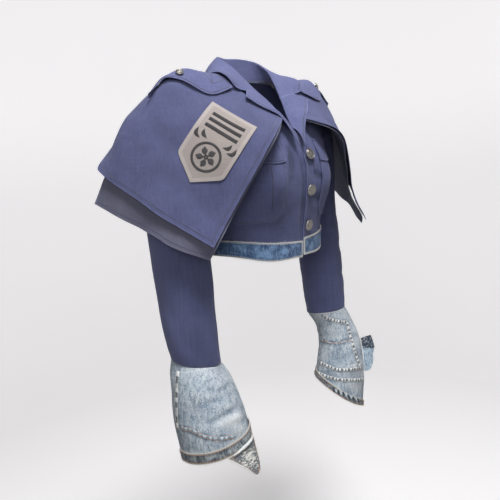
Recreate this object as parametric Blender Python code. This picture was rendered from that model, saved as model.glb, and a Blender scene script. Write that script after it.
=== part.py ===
"""Cropped military jacket with a two-layer cape panel over each shoulder and recycled denim cuffs and waistband.

Metres. X is the wearer's left, Y is the back and Z is up. The origin lies midway between the two points where
the shoulder seams meet the neck. Every cloth piece is a closed wall worked out from rows of its own sizes.
"""

import math

import bmesh
import bpy
import numpy as np
from mathutils import Vector
from mathutils.bvhtree import BVHTree

# Cloth thicknesses and gaps
TWILL = 0.0016
CAPE_CLOTH = 0.0015
DENIM = 0.0020
PATCH_CLOTH = 0.0011
SEAM = 0.0003
LAID = 0.0007
OVER = 0.0006
CAPE_OVER = 0.0010
CLEAR_PARTS = 4
CLEAR_PASSES = 2

# Places inside each piece, which its outer side faces away from
BODY_CORE = (0, 0, -0.2)
BAND_CORE = (0, 0, -0.38)
COLLAR_CORE = (0, 0, -0.05)
LAPEL_CORE = (0.05, 0, -0.1)
SLEEVE_CORE_Z = -0.35
CAPE_CORE = (0.12, 0.0, -0.30)
GUSSET_CORE = (-0.23, -0.04, -0.78)
TAB_CORE = (0.23, 0.1, -0.70)

# Colours are linear red, green, blue
NAVY = (0.058, 0.068, 0.165, 1.0)
SLATE = (0.060, 0.064, 0.092, 1.0)
LIGHT_DENIM = (0.330, 0.430, 0.520, 1.0)
DARK_DENIM = (0.085, 0.130, 0.190, 1.0)
BAND_DENIM = (0.105, 0.195, 0.330, 1.0)
KHAKI = (0.270, 0.245, 0.225, 1.0)
SILVER = (0.560, 0.540, 0.500, 1.0)

# Body: the columns are inner x, y, z and outer x, y, z of each row, hem to shoulder
ARMPIT_ROW = 5
FRONT_ROWS = (
    (0.000, -0.1150, -0.398, 0.156, 0.008, -0.376),
    (0.000, -0.1180, -0.366, 0.156, 0.008, -0.346),
    (0.000, -0.1250, -0.322, 0.157, 0.008, -0.308),
    (0.000, -0.1340, -0.270, 0.160, 0.008, -0.262),
    (0.000, -0.1385, -0.225, 0.164, 0.008, -0.225),
    (0.000, -0.1370, -0.188, 0.168, 0.008, -0.190),
    (0.002, -0.1280, -0.157, 0.163, -0.034, -0.163),
    (0.004, -0.1160, -0.130, 0.158, -0.050, -0.128),
    (0.012, -0.0920, -0.098, 0.160, -0.047, -0.090),
    (0.034, -0.0500, -0.042, 0.170, -0.024, -0.050),
    (0.066, 0.0040, -0.004, 0.190, 0.012, -0.018),
)
BACK_ROWS = (
    (0.000, 0.0980, -0.390, 0.156, 0.008, -0.376),
    (0.000, 0.0960, -0.358, 0.156, 0.008, -0.346),
    (0.000, 0.1000, -0.316, 0.157, 0.008, -0.308),
    (0.000, 0.1080, -0.264, 0.160, 0.008, -0.262),
    (0.000, 0.1140, -0.225, 0.164, 0.008, -0.225),
    (0.000, 0.1180, -0.190, 0.168, 0.008, -0.190),
    (0.000, 0.1205, -0.160, 0.168, 0.036, -0.163),
    (0.000, 0.1205, -0.118, 0.166, 0.052, -0.128),
    (0.000, 0.1130, -0.068, 0.168, 0.050, -0.090),
    (0.000, 0.1000, -0.024, 0.176, 0.034, -0.050),
    (0.000, 0.0860, 0.010, 0.190, 0.012, -0.018),
)
NECK_POINT = (0.066, 0.004, -0.004)
BODY_STEPS = (0, 0.5, 1, 1.5, 2, 2.5, 3, 3.5, 4, 4.5, 5, 5.5, 6, 6.6, 7.2, 8, 8.7, 9.4, 10)
FRONT_COLUMNS = 13
BACK_COLUMNS = 18
NECK_COLUMN = 11
BUST = (0.088, -0.236)
BUST_RISE = 0.022
BUST_SPREAD = (0.046, 0.060)
HEM_DIP = 0.009
HEM_STEPS = 1.5

# Front opening: the left front laps over the right
LEFT_EDGE = 0.009
RIGHT_EDGE = -0.034
LAP_ROWS = 7
LAP_DROP = TWILL + 0.0014
LAP_START = 0.016
LAP_EASE = 3

# Soft folds: start point, end point, width and depth; a negative depth is a ridge
FRONT_FOLDS = (
    ((0.085, -0.120, -0.330), (0.135, -0.090, -0.300), 0.016, 0.003),
    ((0.110, -0.100, -0.175), (0.150, -0.070, -0.135), 0.014, 0.004),
)
RIGHT_FRONT_FOLDS = (
    ((0.026, -0.125, -0.135), (0.030, -0.135, -0.215), 0.012, 0.010),
)
BACK_FOLDS = (
    ((-0.060, 0.110, -0.330), (0.050, 0.110, -0.300), 0.018, 0.004),
    ((-0.115, 0.095, -0.130), (-0.125, 0.080, -0.260), 0.018, 0.005),
    ((0.115, 0.095, -0.130), (0.125, 0.080, -0.250), 0.018, 0.005),
)

# Sleeve rings below the cap: centre x, y, z, half width, half depth, slope along x, slope along y.
# Each side's table is written as if on the wearer's left.
LEFT_SLEEVE_RINGS = (
    (0.2245, 0.0337, -0.240, 0.0583, 0.0658, 0.00, 0.00),
    (0.2235, 0.0350, -0.300, 0.0588, 0.0658, 0.00, 0.00),
    (0.2225, 0.0268, -0.376, 0.0583, 0.0639, 0.00, 0.00),
    (0.2200, 0.0150, -0.463, 0.0555, 0.0611, 0.03, 0.03),
    (0.2192, 0.0089, -0.545, 0.0540, 0.0573, 0.08, 0.08),
    (0.2184, 0.0058, -0.586, 0.0512, 0.0536, 0.04, -0.10),
)
RIGHT_SLEEVE_RINGS = (
    (0.2290, 0.0180, -0.240, 0.0620, 0.0700, 0.00, 0.00),
    (0.2280, 0.0180, -0.300, 0.0630, 0.0705, 0.00, 0.00),
    (0.2287, 0.0137, -0.376, 0.0620, 0.0680, 0.00, 0.00),
    (0.2339, 0.0009, -0.463, 0.0582, 0.0641, 0.03, 0.03),
    (0.2363, -0.0096, -0.545, 0.0565, 0.0600, 0.08, 0.08),
    (0.2323, -0.0133, -0.590, 0.0517, 0.0541, 0.14, 0.12),
)
CAP_STEPS = 6
ARM_STEPS = (0.6, 1.2, 1.8, 2.4, 3.0, 3.6, 4.2, 4.7, 5.0)
CAP_LEAVE = 1.1
CAP_SPREAD = 0.22
CAP_FALL = 0.15
SLEEVE_FOLDS = (
    ((0.262, -0.050, -0.260), (0.266, -0.060, -0.420), 0.012, 0.004),
    ((0.285, 0.020, -0.300), (0.290, 0.000, -0.520), 0.014, 0.003),
    ((0.215, -0.060, -0.440), (0.250, -0.070, -0.410), 0.010, 0.004),
    ((0.250, 0.075, -0.420), (0.200, 0.070, -0.390), 0.012, 0.005),
)

# Cape ribs from the front edge to the back edge, each neck to hem
CAPE_RIBS = (
    ((0.028, -0.1160, -0.101), (0.100, -0.166, -0.135), (0.146, -0.151, -0.204), (0.191, -0.125, -0.280),
     (0.243, -0.120, -0.345)),
    ((0.060, -0.0900, -0.076), (0.122, -0.120, -0.112), (0.172, -0.120, -0.170), (0.220, -0.094, -0.240),
     (0.272, -0.074, -0.311)),
    ((0.080, -0.0520, -0.042), (0.150, -0.056, -0.052), (0.212, -0.060, -0.095), (0.258, -0.050, -0.172),
     (0.305, -0.034, -0.276)),
    ((0.084, -0.0080, -0.001), (0.185, 0.010, -0.003), (0.252, 0.022, -0.038), (0.298, 0.022, -0.105),
     (0.326, 0.012, -0.240)),
    ((0.082, 0.0450, 0.004), (0.170, 0.058, -0.008), (0.242, 0.065, -0.040), (0.306, 0.066, -0.100),
     (0.343, 0.062, -0.208)),
    ((0.060, 0.0980, -0.002), (0.145, 0.120, -0.026), (0.215, 0.124, -0.062), (0.286, 0.122, -0.120),
     (0.345, 0.115, -0.179)),
)
# The lower layer leaves the ribs' last point for these two; on the wearer's left its front corner is shorter
LOWER_RIBS = (
    ((0.243, -0.120, -0.345), (0.252, -0.108, -0.370)),
    ((0.272, -0.074, -0.311), (0.290, -0.070, -0.344)),
    ((0.305, -0.034, -0.276), (0.318, -0.028, -0.315)),
    ((0.326, 0.012, -0.240), (0.338, 0.018, -0.292)),
    ((0.343, 0.062, -0.208), (0.356, 0.064, -0.268)),
    ((0.338, 0.104, -0.186), (0.367, 0.108, -0.246)),
)
LEFT_LOWER_FRONT = ((0.243, -0.120, -0.345), (0.247, -0.114, -0.354))
CAPE_ACROSS = 18
CAPE_DOWN = 17
CAPE_PARTING = (0.0008, 0.0075)
CAPE_FRONT_STEP = 0.004
CAPE_EASE = (1.6, 3)
CAPE_REACH = 0.02
CAPE_FOLDS = (
    ((0.300, -0.020, -0.150), (0.342, -0.010, -0.250), 0.012, 0.006),
    ((0.290, 0.040, -0.080), (0.352, 0.050, -0.215), 0.013, -0.005),
    ((0.240, -0.090, -0.180), (0.292, -0.080, -0.310), 0.016, 0.003),
)
LOWER_CAPE_FOLDS = (
    ((0.335, 0.000, -0.190), (0.342, 0.010, -0.300), 0.010, 0.010),
    ((0.340, 0.045, -0.190), (0.350, 0.055, -0.290), 0.012, -0.004),
)

# Epaulette sections from the sewn end to the tip: front edge, ridge and back edge
EPAULETTE_ROWS = (
    ((0.106, -0.050, -0.036), (0.112, -0.012, 0.000), (0.112, 0.026, 0.004)),
    ((0.161, -0.054, -0.054), (0.152, -0.008, 0.006), (0.152, 0.027, 0.007)),
    ((0.190, -0.035, -0.039), (0.186, -0.004, 0.011), (0.188, 0.027, 0.008)),
    ((0.213, -0.013, -0.023), (0.211, 0.002, 0.003), (0.214, 0.027, -0.006)),
    ((0.235, -0.003, -0.018), (0.234, 0.005, -0.008), (0.236, 0.025, -0.024)),
    ((0.252, 0.001, -0.027), (0.252, 0.007, -0.022), (0.253, 0.022, -0.038)),
    ((0.276, 0.0055, -0.0415), (0.276, 0.009, -0.042), (0.275, 0.013, -0.052)),
)
EPAULETTE_ALONG = 12
EPAULETTE_ACROSS = 6
EPAULETTE_BUTTON = (0.206, -0.010)

# Collar and lapel stations from the centre back to the break: neck seam, roll line, outer edge
COLLAR_STATIONS = (
    ((0.000, 0.0830, 0.014), (0.000, 0.088, 0.058), (0.000, 0.118, 0.014)),
    ((0.042, 0.0680, 0.012), (0.042, 0.066, 0.055), (0.064, 0.098, 0.010)),
    ((0.064, 0.0280, 0.004), (0.057, 0.024, 0.034), (0.101, 0.036, 0.007)),
    ((0.062, -0.0120, -0.010), (0.050, -0.014, 0.004), (0.115, -0.008, -0.001)),
    ((0.046, -0.0380, -0.036), (0.037, -0.040, -0.026), (0.112, -0.032, -0.018)),
    ((0.036, -0.0520, -0.052), (0.028, -0.057, -0.050), (0.103, -0.050, -0.036)),
)
LAPEL_STATIONS = (
    ((0.028, -0.0575, -0.0505), (0.095, -0.080, -0.055)),
    ((0.018, -0.0780, -0.076), (0.070, -0.100, -0.079)),
    ((0.009, -0.1000, -0.104), (0.033, -0.123, -0.110)),
    ((0.0060, -0.1130, -0.1240), (0.008, -0.141, -0.160)),
)
COLLAR_HALF_STEPS = 12
LAPEL_STEPS = 8
LEAF_SHARES = (0.3, 0.6, 0.8, 1.0)
NOTCH_SHARE = 0.6
LEAF_CROWN = 0.005
ROLL_RADIUS = 0.0032
ROLL_ANGLES = (-90, -30, 30, 90)
STAND_GAP = 0.0012
LAPEL_GAP = 0.0015
GORGE = 0.0007
GORGE_EASE = 3

# Breast pocket and flap: inner x, outer x, top z, bottom z, on the front
POCKET = (0.055, 0.146, -0.190, -0.316)
POCKET_CORNER = 0.013
POCKET_FLAP = (0.053, 0.149, -0.146, -0.194)
FLAP_POINT = 0.008
FLAP_CLIMB = (0.2, 0.8)
POCKET_COLUMNS = 9
PLEAT_X = 0.106
PLEAT_WIDTH = 0.030
PLEAT_RISE = 0.0010

# Waistband strips: where their rows lie, in steps up the body's table, and where the right one ends
BAND_STEPS = (-0.15, 0.22, 0.60, 0.97)
LEFT_BAND_STEPS = (-0.02, 0.36, 0.74, 1.12)
BAND_LIFT = 0.0008
BAND_RIGHT_END = -0.0082

# Buttons: outer radius, dome height, shank height
BUTTON_RADIUS = 0.0122
SMALL_BUTTON_RADIUS = 0.0085
BUTTON_DOME = 0.0042
BUTTON_STAND = 0.0022
BUTTON_FOOT = 0.34
BUTTON_SIDES = 14
BUTTON_GAP = 0.0005
SMALL_BUTTON_GAP = 0.0008
FRONT_BUTTONS = ((0.026, -0.180), (0.022, -0.256), (0.024, -0.333))

# Shoulder patch as on the wearer's left: middle, width, length to the point, depth of the point, turn in degrees
PATCH_MIDDLE = (0.196, -0.083, -0.158)
PATCH_WIDTH = 0.104
PATCH_TALL = 0.162
PATCH_POINT = 0.037
PATCH_TURN = 36.5

# Cuff rings: the columns of the sleeve rings, each side written as if on the wearer's left
CUFF_GAP = 0.0004
LEFT_CUFF_RINGS = (
    (0.2290, -0.0114, -0.620, 0.0520, 0.0530, 0.05, 0.08),
    (0.2320, -0.0249, -0.660, 0.0560, 0.0570, -0.05, 0.08),
    (0.2205, -0.0361, -0.710, 0.0620, 0.0620, -0.20, 0.16),
    (0.2088, -0.0410, -0.755, 0.0623, 0.0623, -0.38, 0.34),
    (0.1993, -0.0416, -0.795, 0.0613, 0.0632, -0.50, 0.50),
)
RIGHT_CUFF_RINGS = (
    (0.2297, -0.0214, -0.620, 0.0637, 0.0679, 0.14, 0.12),
    (0.2299, -0.0316, -0.660, 0.0695, 0.0747, 0.05, 0.04),
    (0.2303, -0.0419, -0.710, 0.0751, 0.0821, -0.08, -0.06),
    (0.2298, -0.0488, -0.740, 0.0734, 0.0817, -0.14, -0.10),
    (0.2284, -0.0534, -0.765, 0.0726, 0.0816, -0.20, -0.12),
)
CUFF_STEPS = 8
CUFF_CORE_RING = 2
LEFT_CUFF_FOLDS = (
    ((0.170, -0.080, -0.700), (0.215, -0.105, -0.690), 0.010, 0.004),
)
RIGHT_CUFF_FOLDS = (
    ((0.265, -0.110, -0.690), (0.190, -0.125, -0.700), 0.009, 0.004),
    ((0.255, -0.118, -0.715), (0.190, -0.130, -0.722), 0.008, -0.004),
)
# Dark strip at each cuff's hem: its height and the first and last of the columns round the cuff
STRIP_ROWS = 3
LEFT_STRIP = (0.018, 3, 16)
RIGHT_STRIP = (0.023, -1, 13)

# Torn triangle under the right cuff: columns it hangs from, and its low edge from front to side
GUSSET_COLUMNS = (3, 4, 5, 6)
GUSSET_LOW = ((0.2260, -0.1520, -0.7860), (0.2100, -0.1570, -0.8100), (0.2030, -0.1560, -0.8060),
              (0.1930, -0.1500, -0.7950))
GUSSET_ROWS = 4

# Torn band end standing off the left cuff: height, how far out it reaches
TAB_FOOT = ((0.2714, -0.0766, -0.6658), (0.2607, -0.0844, -0.7559))
TAB_OUT = (
    (0.00, 0.2812, -0.0910, -0.6603),
    (0.35, 0.2870, -0.1030, -0.6956),
    (0.53, 0.2753, -0.0958, -0.7123),
    (0.66, 0.2797, -0.1019, -0.7237),
    (1.00, 0.2672, -0.0963, -0.7524),
)
TAB_THICKNESS = 0.0028
TAB_GAP = 0.0008


def material(name, colour, roughness, metallic=0.0):
    """A plain Principled BSDF of one colour."""
    made = bpy.data.materials.new(name)
    made.use_nodes = True
    shader = made.node_tree.nodes["Principled BSDF"]
    shader.inputs["Base Color"].default_value = colour
    shader.inputs["Roughness"].default_value = roughness
    shader.inputs["Metallic"].default_value = metallic
    return made


def smooth_curve(keys, values, at):
    """A smooth curve through `values`, one row per key, read at the positions `at`."""
    keys = np.asarray(keys, float)
    values = np.asarray(values, float)
    at = np.asarray(at, float)
    slopes = np.gradient(values, keys, axis=0)
    i = np.clip(np.searchsorted(keys, at, side="right") - 1, 0, len(keys) - 2)
    step = (keys[i + 1] - keys[i])[:, None]
    t = ((at - keys[i]) / step[:, 0])[:, None]
    start = (1 + 2 * t) * (1 - t) ** 2 * values[i] + t * (1 - t) ** 2 * step * slopes[i]
    end = t * t * (3 - 2 * t) * values[i + 1] + t * t * (t - 1) * step * slopes[i + 1]
    return start + end


def chord_keys(points):
    """The running length along a row of points."""
    steps = np.linalg.norm(np.diff(np.asarray(points, float), axis=0), axis=1)
    return np.concatenate([[0.0], np.cumsum(steps)])


def evenly(points, count):
    """`count` points at equal lengths along a smooth curve through `points`."""
    keys = chord_keys(points)
    fine = smooth_curve(keys, points, np.linspace(0, keys[-1], 200))
    along = chord_keys(fine)
    wanted = np.linspace(0, along[-1], count)
    return np.stack([np.interp(wanted, along, fine[:, k]) for k in range(3)], axis=1)


def mirrored(grid):
    """The same points on the wearer's other side."""
    return grid * np.array([-1.0, 1.0, 1.0])


def unit(vectors):
    return vectors / np.maximum(np.linalg.norm(vectors, axis=-1, keepdims=True), 1e-9)


def grid_normals(grid, inside, closed=False):
    """A normal at each point of a grid, pointing away from `inside`."""
    if closed:
        around = np.roll(grid, -1, axis=1) - np.roll(grid, 1, axis=1)
    else:
        around = np.gradient(grid, axis=1)
    normals = unit(np.cross(around, np.gradient(grid, axis=0)))
    away = np.sum(normals * (grid - np.asarray(inside, float)), axis=-1)
    return normals if away.mean() > 0 else -normals


def grid_triangles(grid, closed=False):
    """The triangles of a grid numbered row by row, each square cut along its shorter diagonal."""
    rows, columns = grid.shape[:2]
    flat = grid.reshape(-1, 3)
    last = columns if closed else columns - 1
    triangles = []
    for r in range(rows - 1):
        for c in range(last):
            a = r * columns + c
            b = r * columns + (c + 1) % columns
            d = a + columns
            e = b + columns
            if np.linalg.norm(flat[a] - flat[e]) <= np.linalg.norm(flat[b] - flat[d]):
                triangles += [(a, b, e), (a, e, d)]
            else:
                triangles += [(a, b, d), (b, e, d)]
    return triangles


def rim_faces(rows, columns, closed):
    """The faces that join the edges of the outer grid to those of the inner one."""
    half = rows * columns
    top = (rows - 1) * columns
    loops = []
    last = columns if closed else columns - 1
    for c in range(last):
        d = (c + 1) % columns
        loops.append((c, d))
        loops.append((top + d, top + c))
    if not closed:
        for r in range(rows - 1):
            loops.append(((r + 1) * columns, r * columns))
            loops.append((r * columns + columns - 1, (r + 1) * columns + columns - 1))
    return [(a, a + half, b + half, b) for a, b in loops]


def add_object(name, points, faces, finish):
    """One closed mesh object with its faces turned outwards and smooth shading below 40 degrees."""
    mesh = bpy.data.meshes.new(name)
    mesh.from_pydata([tuple(map(float, p)) for p in points], [], faces)
    work = bmesh.new()
    work.from_mesh(mesh)
    bmesh.ops.recalc_face_normals(work, faces=work.faces)
    bmesh.ops.triangulate(work, faces=work.faces)
    work.to_mesh(mesh)
    work.free()
    mesh.shade_smooth()
    mesh.set_sharp_from_angle(angle=math.radians(40))
    mesh.materials.append(finish)
    made = bpy.data.objects.new(name, mesh)
    bpy.context.scene.collection.objects.link(made)
    return made


def wall(name, outer, thickness, finish, inside, closed=False, square=()):
    """A cloth wall: the outer grid, the same grid moved inwards by the thickness, and the rims between.

    `square` names edges that meet another piece: rows, columns and the axis their cut stays square to.
    """
    rows, columns = outer.shape[:2]
    normals = grid_normals(outer, inside, closed)
    for part, axis in square:
        normals[part + (axis,)] = 0
        normals[part] = unit(normals[part])
    inner = outer - normals * thickness
    faces = grid_triangles(outer, closed)
    faces += [tuple(rows * columns + k for k in reversed(f)) for f in faces]
    faces += rim_faces(rows, columns, closed)
    points = np.concatenate([outer.reshape(-1, 3), inner.reshape(-1, 3)])
    return add_object(name, points, faces, finish)


def surface(grid, inside, closed=False):
    """A lookup of the nearest point on a grid, its faces turned away from `inside`."""
    corners = grid.reshape(-1, 3)
    normals = grid_normals(grid, inside, closed).reshape(-1, 3)
    turned = []
    for a, b, c in grid_triangles(grid, closed):
        facing = np.dot(np.cross(corners[b] - corners[a], corners[c] - corners[a]), normals[a])
        turned.append((a, b, c) if facing > 0 else (a, c, b))
    return BVHTree.FromPolygons([Vector(p) for p in corners], turned)


def clear_of(grid, surfaces, gap, reach=0.004):
    """The grid lifted until places all over each of its triangles stand off each surface by the gap."""
    lifted = grid.reshape(-1, 3).copy()
    n = CLEAR_PARTS
    shares = [(i / n, j / n, (n - i - j) / n) for i in range(n + 1) for j in range(n + 1 - i)]
    for lookup in list(surfaces) * CLEAR_PASSES:
        for triangle in map(list, grid_triangles(lifted.reshape(grid.shape))):
            for share in shares:
                point = np.array(share) @ lifted[triangle]
                lifted[triangle] += needed_lift(lookup, point, gap, reach)
    return lifted.reshape(grid.shape)


def needed_lift(lookup, point, gap, reach):
    """The move that brings a point to the gap above a surface, or none."""
    place, normal, _, _ = lookup.find_nearest(Vector(point), 0.04)
    if place is None:
        return np.zeros(3)
    offset = Vector(point) - place
    height = offset.dot(normal)
    if height >= gap or (offset - normal * height).length >= reach:
        return np.zeros(3)
    return np.array(normal) * (gap - height)


def folded(grid, folds, inside, closed=False, side=1):
    """The grid pressed in along each fold: a soft trough that fades at its ends, or a ridge."""
    normals = grid_normals(grid, inside, closed)
    shaped = grid.copy()
    for start, end, width, depth in folds:
        a = np.array(start) * (side, 1, 1)
        b = np.array(end) * (side, 1, 1)
        along = np.clip(np.sum((grid - a) * (b - a), axis=-1) / np.sum((b - a) ** 2), 0, 1)
        away = np.linalg.norm(grid - (a + along[..., None] * (b - a)), axis=-1)
        shaped = shaped - normals * (depth * np.exp(-((away / width) ** 2)))[..., None]
    return shaped


def body_profile(row, x):
    """The y of a body row at x: an arc from the row's inner point to its outer one."""
    x_in, y_in, _, x_out, y_out, _ = row
    middle = max(x_in, 0.0)
    across = np.clip((np.abs(x) - middle) / (x_out - middle), 0, 1)
    across = np.where(np.abs(x) < middle, 0, across)
    return y_out + (y_in - y_out) * np.sqrt(1 - across**2)


def row_points(row, start_x, columns):
    """The points of one body row from `start_x` to the side seam."""
    x_in, _, z_in, x_out, _, z_out = row
    turn = np.sin(np.linspace(0, math.pi / 2, columns))
    x = start_x + (x_out - start_x) * turn
    share = np.clip((x - max(x_in, 0)) / (x_out - max(x_in, 0)), 0, 1)
    z = z_in + (z_out - z_in) * share
    return np.stack([x, body_profile(row, x), z], axis=1)


def shaped_rows(rows):
    """The table's rows read at every body step, the side seam kept straight up to the armpit."""
    shaped = smooth_curve(range(len(rows)), rows, BODY_STEPS)
    shaped[np.array(BODY_STEPS) < ARMPIT_ROW, 4] = rows[ARMPIT_ROW][4]
    return shaped


def bust_rise(x, z):
    """How far the bust stands out from the arc of the front."""
    across = (np.abs(x) - BUST[0]) / BUST_SPREAD[0]
    up = (z - BUST[1]) / BUST_SPREAD[1]
    return BUST_RISE * np.exp(-(across**2) - up**2)


def shoulder_seam(points):
    """The points set on the straight line from the first to the last."""
    share = (points[:, :1] - points[0, 0]) / (points[-1, 0] - points[0, 0])
    return points[0] + (points[-1] - points[0]) * share


def front_grid(edge_x, dips_under):
    """One front from its centre edge to the side seam, for the wearer's left; the right is its mirror."""
    grid = []
    for step, row in zip(BODY_STEPS, shaped_rows(FRONT_ROWS)):
        lap = np.clip(LAP_ROWS - step, 0, 1)
        start_x = row[0] * (1 - lap) + edge_x * lap
        points = row_points(row, start_x, FRONT_COLUMNS)
        if step == BODY_STEPS[-1]:
            points = shoulder_seam(points)
        low = np.clip(1 - step / HEM_STEPS, 0, 1)
        points[:, 2] -= HEM_DIP * low * np.sin(np.clip(points[:, 0] / row[3], 0, 1) * math.pi) ** 2
        points[:, 1] -= bust_rise(points[:, 0], points[:, 2])
        if dips_under:
            under = np.clip((LAP_START - points[:, 0]) / LAP_START, 0, 1)
            points[:, 1] += LAP_DROP * under * under * (3 - 2 * under) * min(1, lap * LAP_EASE)
        grid.append(points)
    return np.array(grid)


def back_grid():
    """The back panel from the right side seam to the left one; its top row is the neckline and both shoulders."""
    turn = np.sin(np.linspace(-math.pi / 2, math.pi / 2, BACK_COLUMNS))
    grid = []
    for row in shaped_rows(BACK_ROWS):
        share = np.abs(turn)
        x = row[3] * turn
        z = row[2] + (row[5] - row[2]) * share**2
        y = row[4] + (row[1] - row[4]) * np.sqrt(1 - share**2)
        grid.append(np.stack([x, y, z], axis=1))
    grid[-1] = neck_and_shoulders(turn)
    blend = 0.5 * (grid[-1] + grid[-3])
    grid[-2] = 0.5 * grid[-2] + 0.5 * blend
    return np.array(grid)


def neck_and_shoulders(turn):
    """The back's top row: an arc behind the neck, then a straight seam to each shoulder point."""
    top = BACK_ROWS[-1]
    centre = np.array(top[:3])
    tip = np.array(top[3:])
    neck = np.array(NECK_POINT)
    corner = turn[NECK_COLUMN]
    points = []
    for value in turn:
        share = abs(value)
        if share <= corner + 1e-9:
            angle = share / corner * math.pi / 2
            x = neck[0] * math.sin(angle)
            y = neck[1] + (centre[1] - neck[1]) * math.cos(angle)
            z = neck[2] + (centre[2] - neck[2]) * math.cos(angle)
        else:
            x, y, z = neck + (tip - neck) * (share - corner) / (1 - corner)
        points.append((math.copysign(x, value), y, z))
    return np.array(points)


def opened_seams(grid, shift_side, shift_top):
    """The grid with its side seam and its shoulder seam each drawn back by half the seam gap."""
    opened = grid.copy()
    opened[:, -1, 1] += shift_side
    opened[-1, :, 1] += shift_top
    return opened


def ring(row, angles):
    """The points of one tube ring, outer side first, then front, inner side and back."""
    x, y, z, half_x, half_y, slope_x, slope_y = row
    dx = half_x * np.cos(angles)
    dy = -half_y * np.sin(angles)
    return np.stack([x + dx, y + dy, z + slope_x * dx + slope_y * dy], axis=1)


def armhole(front, back):
    """The armhole's points, from the shoulder point down the front to the armpit and up the back."""
    start = BODY_STEPS.index(ARMPIT_ROW)
    down = front[start:, -1][::-1]
    up = back[start:, -1]
    loop = np.concatenate([down, up[1:-1]])
    return loop + np.array([2 * SEAM, 0, 0])


def sleeve_grid(loop, rings):
    """A sleeve from the armhole to its hem: a rounded cap, then rings down the arm."""
    middle = loop.mean(axis=0)
    out = unit((loop - middle) * (0, 1, 1))
    angles = np.unwrap(np.arctan2(-out[:, 1], out[:, 2]))
    grid = [loop]
    bicep = ring(rings[0], angles)
    reach = np.linalg.norm(bicep - loop, axis=1)[:, None]
    leave = unit(np.array([1.0, 0, -CAP_FALL]) + CAP_SPREAD * out) * reach * CAP_LEAVE
    arrive = np.array([0, 0, -1.0]) * reach
    for t in np.linspace(0, 1, CAP_STEPS + 1)[1:]:
        start = (1 + 2 * t) * (1 - t) ** 2 * loop + t * (1 - t) ** 2 * leave
        end = t * t * (3 - 2 * t) * bicep + t * t * (t - 1) * arrive
        grid.append(start + end)
    for row in smooth_curve(range(len(rings)), rings, ARM_STEPS):
        grid.append(ring(row, angles))
    return np.array(grid), angles


def cape_grid(endings):
    """One cape layer for the wearer's left, neck to hem by front edge to back edge."""
    ribs = []
    for rib, ending in zip(CAPE_RIBS, endings):
        ribs.append(evenly(rib[:-1] + ending, CAPE_DOWN))
    ribs = np.array(ribs)
    keys = chord_keys(ribs[:, CAPE_DOWN // 2])
    at = np.linspace(0, keys[-1], CAPE_ACROSS)
    flat = smooth_curve(keys, ribs.reshape(len(ribs), -1), at)
    return flat.reshape(CAPE_ACROSS, CAPE_DOWN, 3).transpose(1, 0, 2)


def cape_layers(under, side):
    """The upper and lower layers, the lower one parted from the upper by more towards the hem."""
    endings = ((LEFT_LOWER_FRONT,) if side > 0 else LOWER_RIBS[:1]) + LOWER_RIBS[1:]
    upper = folded(cape_grid([rib[-1:] for rib in CAPE_RIBS]), CAPE_FOLDS, CAPE_CORE)
    lower = folded(cape_grid(endings), CAPE_FOLDS + LOWER_CAPE_FOLDS, CAPE_CORE)
    down = np.linspace(0, 1, CAPE_DOWN)[:, None, None]
    near, far = CAPE_PARTING
    parting = CAPE_CLOTH + near + (far - near) * np.clip(down * CAPE_EASE[0], 0, 1)
    lower = lower - grid_normals(lower, CAPE_CORE) * parting
    forward = unit(lower[:, 0] - lower[:, 1])
    lower[:, 0] += forward * CAPE_FRONT_STEP * np.clip(down[:, 0] * CAPE_EASE[1], 0, 1)
    lower = clear_of(lower, under, CAPE_CLOTH + CAPE_OVER)
    upper = clear_of(upper, [surface(lower, CAPE_CORE)], CAPE_CLOTH + CAPE_OVER, CAPE_REACH)
    return upper, lower


def epaulette_grid(cape):
    """The strap over the cape, sewn end to tip."""
    sections = np.array([evenly(row, EPAULETTE_ACROSS) for row in EPAULETTE_ROWS])
    keys = chord_keys(sections[:, EPAULETTE_ACROSS // 2])
    at = np.linspace(0, keys[-1], EPAULETTE_ALONG)
    flat = smooth_curve(keys, sections.reshape(len(sections), -1), at)
    grid = flat.reshape(EPAULETTE_ALONG, EPAULETTE_ACROSS, 3)
    return clear_of(grid, [cape], TWILL + OVER)


def stations(table, count):
    """A table of named points at each station, read at `count` places."""
    table = np.array(table)
    keys = chord_keys(table[:, -1])
    at = np.linspace(0, keys[-1], count)
    return smooth_curve(keys, table.reshape(len(table), -1), at).reshape(count, -1, 3)


def nearest_on(line, point):
    """The place on a line of points nearest to `point`, and the line's other values read there."""
    a, b = line[:-1], line[1:]
    ahead = b[:, :3] - a[:, :3]
    share = np.clip(np.sum((point - a[:, :3]) * ahead, axis=1) / np.sum(ahead**2, axis=1), 0, 1)
    places = a + share[:, None] * (b - a)
    best = places[np.argmin(np.linalg.norm(places[:, :3] - point, axis=1))]
    return best[:3], best[3:]


def leaf_points(roll, inner, edge, beyond, over):
    """Round the roll, `beyond` the neckline and `over` it, then down the crowned leaf by way of `inner`."""
    points = []
    for angle in np.radians(ROLL_ANGLES):
        points.append(roll + (over * math.sin(angle) + beyond * math.cos(angle)) * ROLL_RADIUS)
    for share in LEAF_SHARES:
        if share <= NOTCH_SHARE:
            place = roll + (inner - roll) * share / NOTCH_SHARE
        else:
            place = inner + (edge - inner) * (share - NOTCH_SHARE) / (1 - NOTCH_SHARE)
        crown = LEAF_CROWN * math.sin(share * math.pi) + ROLL_RADIUS * (1 - share)
        points.append(place + over * crown)
    return points


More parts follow.
